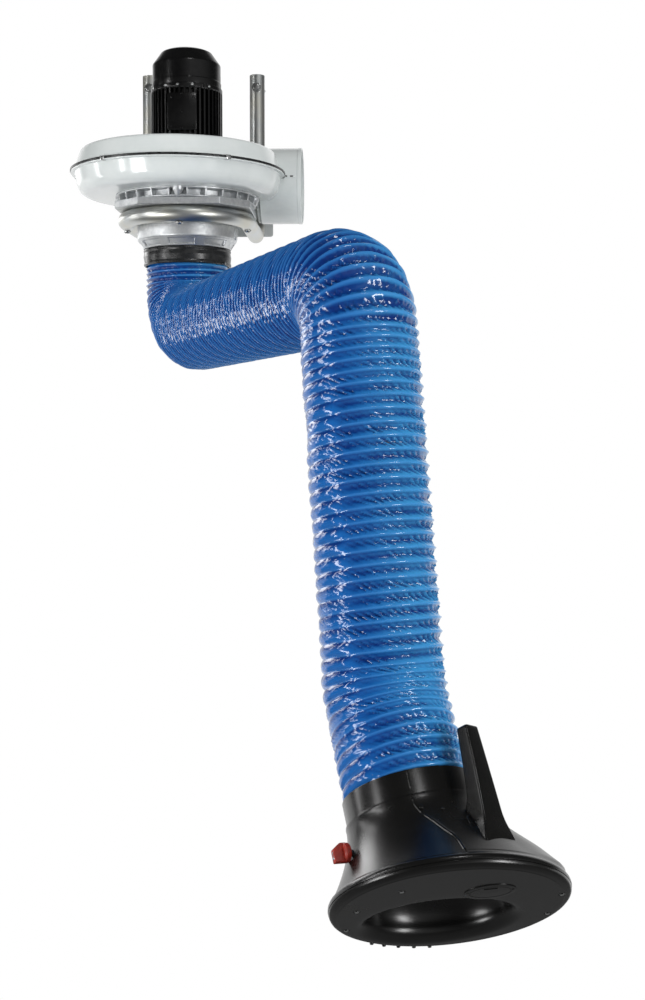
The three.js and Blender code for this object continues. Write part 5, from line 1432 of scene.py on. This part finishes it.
class ARM_OT_hood(bpy.types.Operator):
    """Builds the hood's shell, face, handle and lamp blank"""

    bl_idname = "arm.hood"
    bl_label = "Hood"

    def execute(self, context):
        s = context.scene.extraction_arm.hood
        plastic = finish("abs_injection_moulded_satin", s.shell)
        bright = finish("steel_zinc_plated_fastener")
        form = HoodForm(s)
        self.shell(s, form, plastic)
        self.front(s, form, plastic)
        self.fixings(form, plastic, bright)
        self.handle(s, plastic)
        self.lamp_blank(s, form, plastic)
        return {"FINISHED"}

    @staticmethod
    def shell(s, form, plastic):
        """The neck and the cone, with the moulded seam, ridges and bosses on its front."""
        neck, top, foot, wall = s.neck, -s.neck_drop, -s.shoulder_drop, 3 * MM
        cone_foot = s.rim_radius - s.rim_roll
        head, base = form.level(foot - s.step, neck + s.step), form.rim(s.rim_height, cone_foot)
        shares = np.linspace(0, 1, 41)
        # The neck's section: inside, rounded top edge, outside, and the step to the cone.
        section = near(neck, top, (-3.5, -12, 0), (-3.5, -1.5, 0), (-2.6, 0, 0), (-1.2, 0, 0))
        section += near(neck, top, (-0.3, -0.4, 0), (0, -1.2, 0))
        section += near(neck, foot, (0, 1.2, 0), (0.3, 0.3, 0))
        section.append((neck + s.step * 0.8, foot - s.step * 0.3, 0))
        rings = [form.level(height, radius) for radius, height, _ in section]
        rings += [form.swollen(head, base, t) for t in shares]
        inner_head = form.level(foot - s.step, neck + s.step - wall)
        inner_base = form.rim(s.rim_height, cone_foot - wall)
        rings += [form.cone(inner_head, inner_base, t) for t in shares[::-1]]
        rings.append(form.level(foot, neck - 3.5 * MM))

        seam = form.ridge([(-92.5, -0.97), (-92.6, -0.6), (-93, -0.22)], 1.5 * MM)
        lead = form.ridge([(-93.3, 0.02), (-94.5, 0.12), (-93.5, 0.2), (-92.5, 0.27)], 1.7 * MM)
        spine = [(-92.5, 0.27), (-88, 0.41), (-85, 0.56), (-82.5, 0.68), (-82, 0.79), (-83, 0.94), (-83.5, 1)]
        spine = form.ridge(spine, 3 * MM)
        flare = form.ridge([(-41.5, 0.10), (-52, 0.26), (-64, 0.41), (-66, 0.52)], 2 * MM)
        bosses = []
        for angle, share, wide in ((-90.5, 0.18, 4.0), (-76.5, 0.25, 2.6)):
            at = form.outside(angle, share)
            outward = Vector((at.x, at.y, 0)).normalized() + UP * 0.4
            stub = near(0, 0, (0, -3, 0), (wide, -3, 0), (wide * 0.8, 2.2, 1), (0, 2.2, 0))
            bosses.append(moved(lathe(stub, 28), facing(at, outward)))
        whole = together(loft(rings, closed=True), seam, lead, spine, flare, *bosses)
        piece("hood_cone", whole, plastic, "hood", ["hood_shell"], AT_HOOD)

    @staticmethod
    def front(s, form, plastic):
        """The face: a funnel to the oval throat, a rounded lip, a flat face and the rolled rim."""
        cone_foot, inside = s.rim_radius - s.rim_roll, s.rim_radius - 2 * s.rim_roll
        lip, right, back = s.lip, -s.throat_left, s.throat_back
        throat_u, throat_v = s.throat_width / 2, s.throat_depth / 2
        funnel_top = form.level(-s.funnel_drop, s.funnel_radius)
        mouth = form.rim(lip, throat_u, throat_v, right, back)
        # The funnel shifts back late, so that the damper's blade has room, and runs straight into the lip.
        rings = [form.cone(funnel_top, mouth, t, smooth(0, 1, t**1.4)) for t in np.linspace(0, 1, 33)]
        for turn in np.linspace(0, math.pi / 2, 13)[1:]:
            grow = lip * (1 - math.cos(turn))
            rings.append(form.rim(lip - lip * math.sin(turn), throat_u + grow, throat_v + grow, right, back))
        edge = cone_foot - 6 * MM
        for share in (0.15, 0.35, 0.6, 0.85, 1.0):
            wide = throat_u + lip + (edge - throat_u - lip) * share
            deep = throat_v + lip + (edge - throat_v - lip) * share
            rings.append(form.rim(0, wide, deep, right * (1 - share), back * (1 - share)))
        # The rim's section in millimetres: a step off the face, a band, a thin parting line, the roll.
        section = [(-5.4, 0.5), (-4.6, 0.7), (-1.5, 0.9), (1.6, 2.2), (3.8, 4.2), (4.9, 6.6), (5.2, 8.6)]
        section += [(4.6, 8.9), (4.6, 9.5), (5.6, 9.8), (6.0, 12.0), (5.6, 14.6), (4.3, 17.0), (2.3, 18.9)]
        section += [(0.2, 20.2), (-1.7, 21.8), (-3.3, 24.0), (-4.4, 25.8)]
        rings += [form.rim(up * MM, cone_foot + out * MM) for out, up in section]
        rings += [form.rim(s.rim_height, inside), form.rim(3 * MM, inside)]
        piece("hood_front", loft(rings), plastic, "hood", ["hood_face"], AT_HOOD)

    @staticmethod
    def fixings(form, plastic, bright):
        """Screws sunk in the face, and the row of small nubs at the back of the rim."""
        down = form.lean @ -UP
        well = lathe(near(0, 0, (3.3, -1, 0), (5.2, -1, 0), (4.8, 0.7, 0.5), (3.6, 0.7, 0.5)), 28)
        nub = lathe(near(0, 0, (0, -2, 0), (3.2, -2, 0), (2.6, 2.2, 1.4), (0, 2.4, 0)), 24)
        wells, heads, nubs = [], [], []
        for radius, angle in ((111, -126), (127, -167), (147, 162), (147, -7), (145, 23)):
            way = ray(angle) * radius * MM
            at = form.on_rim(way.x, way.y, 0)
            wells.append(moved(well, facing(at, down)))
            heads.append(moved(pan_screw(3.1 * MM, 1.0 * MM), facing(at, down, 0.3)))
        for angle in (99.3, 107.8, 116.5, 125.2, 133.3):
            way = ray(angle) * 155 * MM
            nubs.append(moved(nub, facing(form.on_rim(way.x, way.y, 1.2 * MM), down)))
        piece("hood_front_wells", together(*wells, *nubs), plastic, "hood", matrix=AT_HOOD)
        piece("hood_front_screws", together(*heads), bright, "hood", matrix=AT_HOOD)

    @staticmethod
    def handle(s, plastic):
        """A tapered bar that stands beside the neck, leans a little, and runs out into the cone."""
        top, tall, buried = -s.neck_drop + s.handle_rise, s.handle_rise + s.handle_foot, 26 * MM
        inner = s.neck + s.handle_gap
        edge, steps, rows = 3 * MM, 6, 60
        # Rows of the bar: how far down, and how far its sides tuck in for the rounded top edge.
        turns = [math.pi / 2 * i / steps for i in range(steps + 1)]
        levels = [(edge * (1 - math.cos(a)), edge * (1 - math.sin(a))) for a in turns]
        levels += [(edge + (tall + buried - edge) * i / rows, 0.0) for i in range(1, rows + 1)]
        rings = []
        for drop, tuck in levels:
            t = drop / tall
            spread, flare = float(smooth(0.50, 0.84, t)) ** 1.5, float(smooth(0.72, 1.05, t)) ** 1.5
            half = (13 + 7 * t + 8 * flare) * MM - tuck
            close = inner - 15 * MM * spread + tuck
            far = inner + s.handle_depth + s.handle_taper * t + 3 * MM * flare - tuck
            corners = [(close, -half), (far, -half), (far, half), (close, half)]
            outline = rounded([(x, y, 4 * MM - tuck * 0.5) for x, y in corners], 8)
            turn = about_z(s.handle_angle - 8 * t)
            rings.append([tuple(turn @ Vector((p.x, p.y, top - drop))) for p in outline])
        piece("hood_grip", loft(rings, caps=True), plastic, "hood", ["hood_handle"], AT_HOOD)

    @staticmethod
    def lamp_blank(s, form, plastic):
        """An oval cover over the place for a lamp, with a raised middle, screws and a finger slot."""
        x, y = s.lamp_right, -s.lamp_front
        u, v = s.lamp_width / 2, s.lamp_depth / 2
        # Its section in millimetres: in from the edge, and up.
        section = [(0, 0.4), (0, -0.6), (0.3, -1.0), (1.0, -1.2), (6.0, -1.2), (6.5, -0.6), (7.3, -0.6)]
        section += [(7.8, -1.2), (14, -1.4), (25.9, -1.5)]
        parts = [loft([form.rim(z * MM, u - inset * MM, v - inset * MM, x, y, 72) for inset, z in section])]
        down = form.lean @ -UP
        for dx in (-29, 29):
            at = form.on_rim(x + dx * MM, y - 3 * MM, -1.1 * MM)
            parts.append(moved(pan_screw(2.2 * MM, 1.0 * MM), facing(at, down, 0.5)))
        slot = box(-9 * MM, 9 * MM, -1.4 * MM, 1.4 * MM, -0.2 * MM, 0.8 * MM, 0.5 * MM)
        place = Matrix.Translation(form.on_rim(x, y - 12 * MM, -1.4 * MM)) @ form.lean.to_4x4()
        parts.append(moved(slot, place @ Matrix.Rotation(math.pi, 4, "X")))
        piece("hood_lamp_blank", together(*parts), plastic, "hood", ["lamp_cover"], AT_HOOD)


class ARM_OT_damper(bpy.types.Operator):
    """Builds the damper's knob"""

    bl_idname = "arm.damper"
    bl_label = "Damper"

    def execute(self, context):
        s = context.scene.extraction_arm.hood
        red, steel = finish("abs_injection_moulded_red", s.knob), finish("steel_cold_rolled")
        axis, up, origin = joint_axis("damper"), joint_axis("hood_turn"), joint_at("damper")
        reach = [(v.co - origin).dot(axis) for v in frame["nodes"]["damper_knob"].data.vertices]
        start, stop = max(reach), min(reach)
        place = Matrix.Translation(origin) @ Matrix((up, up.cross(axis), axis)).transposed().to_4x4()
        outline = near(0, start, (4.5, 0, 0.4), (13, 0, 0.8), (13, -6, 1.5), (10, -8.5, 1.5))
        outline += near(0, start, (0, -8.5, 0), (0, -4, 0), (4.5, -4, 0.4))
        side = near(0, start, (-13, -2, 1), (13, -2, 1), (13, -11, 5))
        side += near(0, stop, (5, 0, 4), (-13, 0, 1.5))
        grip = moved(prism(rounded(side), -4.5 * MM, 4.5 * MM, 1.2 * MM), STANDING)
        knob = together(lathe(outline, 48), grip)
        piece("damper_knob_red", knob, red, "damper", ["damper_knob"], place)
        slot = box(-4.6 * MM, 2.6 * MM, -0.9 * MM, 0.9 * MM, stop - 0.25 * MM, stop + 2 * MM, 0.2 * MM)
        head = moved(pan_screw(2.3 * MM, 1.0 * MM), facing((-6.5 * MM, 0, stop + 0.3 * MM), -UP))
        piece("damper_knob_screw", together(slot, head), steel, "damper", matrix=place)
        return {"FINISHED"}


class ARM_OT_inner(bpy.types.Operator):
    """Gives the inner pieces their finishes"""

    bl_idname = "arm.inner"
    bl_label = "Inner pieces"

    FINISH_OF_SLOT = {
        "rubber": "rubber_moulded_black",
        "abs": "nylon_moulded_black",
        "iron": "iron_laminated_oiled",
        "steel": "steel_cold_rolled",
        "arm_alloy": "aluminium_extruded_satin",
        "zinc": "steel_zinc_plated_fastener",
        "cast": "aluminium_die_cast",
        "motor_paint": "iron_cast_gloss_painted",
        "enamel": "steel_stove_enamelled_gloss",
        "plate_paint": "steel_powder_coated_grey",
        "red_plastic": "abs_injection_moulded_red",
    }

    def execute(self, context):
        slots = {part["node"]: part["material_slot"] for part in frame["record"]["subparts"]}
        for name, held in frame["nodes"].items():
            if held.hide_render:
                continue
            made = finish(self.FINISH_OF_SLOT[slots[name]])
            if not held.material_slots:
                held.data.materials.append(made)
            for slot in held.material_slots:
                slot.material = made
        return {"FINISHED"}


# Stage

SENSOR_HEIGHT = 36.0  # millimetres
CAMERA_AT = (0.400, -3.304, -0.503)
CAMERA_TILT, CAMERA_TURN = math.radians(87.15), math.radians(2.07)
FLOOR_HALF = 30.0
SHADOW_AT = (0.2, -0.9)  # middle of the shadow on the floor
ARM_AIM, HOOD_AIM = Vector((0.25, -0.75, -0.45)), Vector((0.40, -1.50, -1.02))

# Each lamp: place, point that it is turned to, width, height, spread in degrees, watts. The lamp
# behind has a grid that keeps its light on the hood.
LAMPS = (
    ("lamp_left", (-2.3, -1.9, 0.0), ARM_AIM, 0.32, 1.6, 180, 18.0),
    ("lamp_side", (-2.3, -0.3, -0.2), ARM_AIM, 0.22, 1.4, 180, 7.0),
    ("lamp_low", (-1.7, -2.6, -1.1), ARM_AIM, 0.8, 0.8, 180, 26.0),
    ("lamp_right", (2.6, -3.2, -0.45), ARM_AIM, 0.7, 1.1, 180, 40.0),
    ("lamp_behind", (-1.6, 0.55, -0.15), HOOD_AIM, 1.5, 0.9, 45, 1.4),
    ("lamp_top", (0.9, -2.8, 2.2), ARM_AIM, 0.4, 0.4, 180, 12.0),
)


class ARM_OT_stage(bpy.types.Operator):
    """Sets the camera, the floor, the background and the lamps"""

    bl_idname = "arm.stage"
    bl_label = "Stage"

    def execute(self, context):
        s = context.scene.extraction_arm.stage
        scene = context.scene
        self.camera(scene, s.focal)
        self.floor(scene, s.backdrop, -s.floor_drop)
        self.background(scene, s.backdrop)
        for name, at, aim, wide, tall, spread, power in LAMPS:
            light = bpy.data.lights.new(name, "AREA")
            light.shape = "RECTANGLE"
            light.size, light.size_y = wide, tall
            light.spread = math.radians(spread)
            light.energy = power
            lamp = bpy.data.objects.new(name, light)
            lamp.location = at
            lamp.rotation_euler = (aim - Vector(at)).to_track_quat("-Z", "Y").to_euler()
            scene.collection.objects.link(lamp)
        return {"FINISHED"}

    @staticmethod
    def camera(scene, focal):
        """The camera, from where the photograph was taken."""
        lens = bpy.data.cameras.new("photo_camera")
        lens.sensor_fit = "VERTICAL"
        lens.sensor_height = SENSOR_HEIGHT
        lens.lens = focal
        camera = bpy.data.objects.new("photo_camera", lens)
        camera.location = CAMERA_AT
        camera.rotation_euler = (CAMERA_TILT, 0, CAMERA_TURN)
        scene.collection.objects.link(camera)
        scene.camera = camera
        scene.view_settings.view_transform = "Standard"

    def floor(self, scene, colour, z):
        """A wide level floor."""
        mesh = bpy.data.meshes.new("studio_floor")
        signs = ((-1, -1), (1, -1), (1, 1), (-1, 1))
        mesh.from_pydata([(x * FLOOR_HALF, y * FLOOR_HALF, z) for x, y in signs], [], [(0, 1, 2, 3)])
        floor = bpy.data.objects.new("studio_floor", mesh)
        scene.collection.objects.link(floor)
        mesh.materials.append(self.floor_paint(colour, z))

    @staticmethod
    def floor_paint(colour, z):
        """Matt white studio paint: shows as the background, and still takes the object's shadow."""
        made, tree = empty_material("floor_matt_painted")
        rays = node(tree, "ShaderNodeLightPath").outputs
        place = node(tree, "ShaderNodeTexCoord").outputs["Object"]
        links = {0: rays["Is Camera Ray"], 1: rays["Is Transmission Ray"]}
        seen = node(tree, "ShaderNodeMath", LARGER, {}, links)
        # Behind the object the floor is part of the white background in reflections as well.
        axes = node(tree, "ShaderNodeSeparateXYZ", links={"Vector": place})
        ends = {"From Min": 0.0, "From Max": 1.2}
        behind = node(tree, "ShaderNodeMapRange", SMOOTH, ends, {"Value": axes.outputs["Y"]})
        links = {0: rays["Is Glossy Ray"], 1: behind.outputs["Result"]}
        mirrored = node(tree, "ShaderNodeMath", PRODUCT, {}, links)
        links = {0: seen.outputs["Value"], 1: mirrored.outputs["Value"]}
        seen = node(tree, "ShaderNodeMath", LARGER, {}, links)
        # Under the object the paint shows its shadow; farther out it fades into the white background.
        away = node(tree, "ShaderNodeVectorMath", {"operation": "DISTANCE"}, {1: (*SHADOW_AT, z)}, {0: place})
        ends = {"From Min": 0.7, "From Max": 1.8, "To Min": 0.55, "To Max": 1.0}
        fade = node(tree, "ShaderNodeMapRange", SMOOTH, ends, {"Value": away.outputs["Value"]})
        links = {0: seen.outputs["Value"], 1: fade.outputs["Result"]}
        share = node(tree, "ShaderNodeMath", PRODUCT, {}, links)
        # Faint clouds of the paint, a third of a metre wide.
        size = {"Scale": 1 / (1000 / 3 * MM), "Detail": 2.0}
        mottle = node(tree, "ShaderNodeTexNoise", {}, size, {"Vector": place})
        dark, pale, room = ((*(level * c for c in colour), 1) for level in (0.78, 0.80, 0.22))
        tone = node(tree, "ShaderNodeMix", RGBA, {6: dark, 7: pale}, {0: mottle.outputs["Fac"]})
        # In glossy surfaces the floor shows as the dim room round it, so that black stays black.
        links = {0: rays["Is Glossy Ray"], 6: tone.outputs[2]}
        tone = node(tree, "ShaderNodeMix", RGBA, {7: room}, links)
        paint = node(tree, "ShaderNodeBsdfDiffuse", links={"Color": tone.outputs[2]})
        glow = node(tree, "ShaderNodeEmission", inputs={"Color": (*colour, 1), "Strength": 1.0})
        links = {0: share.outputs["Value"], 1: paint.outputs["BSDF"], 2: glow.outputs["Emission"]}
        mix = node(tree, "ShaderNodeMixShader", links=links)
        node(tree, "ShaderNodeOutputMaterial", links={"Surface": mix.outputs["Shader"]})
        return made

    @staticmethod
    def background(scene, colour):
        """White behind the object as the camera sees it, soft fill, and a dim room in glossy surfaces."""
        world = bpy.data.worlds.new("studio_background")
        scene.world = world
        world.use_nodes = True
        tree = world.node_tree
        tree.nodes.clear()
        rays = node(tree, "ShaderNodeLightPath").outputs
        place = node(tree, "ShaderNodeTexCoord").outputs["Generated"]
        # Glossy surfaces see the white background behind the object, and a dim room in front of it
        # that is a little brighter on the right.
        axes = node(tree, "ShaderNodeSeparateXYZ", links={"Vector": place})
        ends = {"From Min": 0.55, "From Max": 0.90, "To Min": 0.06, "To Max": 1.0}
        room = node(tree, "ShaderNodeMapRange", SMOOTH, ends, {"Value": axes.outputs["Y"]})
        right = node(tree, "ShaderNodeVectorMath", TOWARD, {1: (0.62, -0.70, -0.35)}, {0: place})
        ends = {"From Min": 0.3, "From Max": 0.9, "To Min": 0.0, "To Max": 0.30}
        right = node(tree, "ShaderNodeMapRange", SMOOTH, ends, {"Value": right.outputs["Value"]})
        links = {0: room.outputs["Result"], 1: right.outputs["Result"]}
        room = node(tree, "ShaderNodeMath", {"operation": "ADD"}, {}, links)
        # The soft fill comes from the front right, and little of it from above.
        toward = node(tree, "ShaderNodeVectorMath", TOWARD, {1: (0.83, -0.54, 0.12)}, {0: place})
        ends = {"From Min": -0.4, "From Max": 0.95, "To Min": 0.12, "To Max": 0.86}
        fill = node(tree, "ShaderNodeMapRange", SMOOTH, ends, {"Value": toward.outputs["Value"]})
        links = {0: rays["Is Glossy Ray"], 2: fill.outputs["Result"], 3: room.outputs["Value"]}
        glossy = node(tree, "ShaderNodeMix", FLOAT, {}, links)
        links = {0: rays["Is Camera Ray"], 1: rays["Is Transmission Ray"]}
        seen = node(tree, "ShaderNodeMath", LARGER, {}, links)
        links = {0: seen.outputs["Value"], 2: glossy.outputs[0]}
        level = node(tree, "ShaderNodeMix", FLOAT, {3: 1.0}, links)
        sky = node(tree, "ShaderNodeBackground", {}, {"Color": (*colour, 1)}, {"Strength": level.outputs[0]})
        node(tree, "ShaderNodeOutputWorld", links={"Surface": sky.outputs["Background"]})


# Add-on


class ARM_PT_panel(bpy.types.Panel):
    """Lists the steps that build the arm"""

    bl_idname = "ARM_PT_panel"
    bl_label = "Extraction arm"
    bl_space_type = "VIEW_3D"
    bl_region_type = "UI"
    bl_category = "Extraction arm"

    def draw(self, context):
        for step in STEPS:
            self.layout.operator(step.bl_idname)


STEPS = (
    ARM_OT_bracket,
    ARM_OT_swivel,
    ARM_OT_fan,
    ARM_OT_motor,
    ARM_OT_hose,
    ARM_OT_hood,
    ARM_OT_damper,
    ARM_OT_inner,
    ARM_OT_stage,
)
GROUPS = (
    BracketSizes,
    SwivelSizes,
    FanSizes,
    MotorSizes,
    HoseSizes,
    HoodSizes,
    StageSizes,
    ArmSettings,
)


def register():
    for kind in (*GROUPS, *STEPS, ARM_PT_panel):
        bpy.utils.register_class(kind)
    bpy.types.Scene.extraction_arm = PointerProperty(type=ArmSettings)


def unregister():
    del bpy.types.Scene.extraction_arm
    for kind in reversed((*GROUPS, *STEPS, ARM_PT_panel)):
        bpy.utils.unregister_class(kind)


def main():
    register()
    bpy.ops.arm.bracket()
    bpy.ops.arm.swivel()
    bpy.ops.arm.fan()
    bpy.ops.arm.motor()
    bpy.ops.arm.hose()
    bpy.ops.arm.hood()
    bpy.ops.arm.damper()
    bpy.ops.arm.inner()
    bpy.ops.arm.stage()
    bpy.context.view_layer.update()


if __name__ == "__main__":
    main()
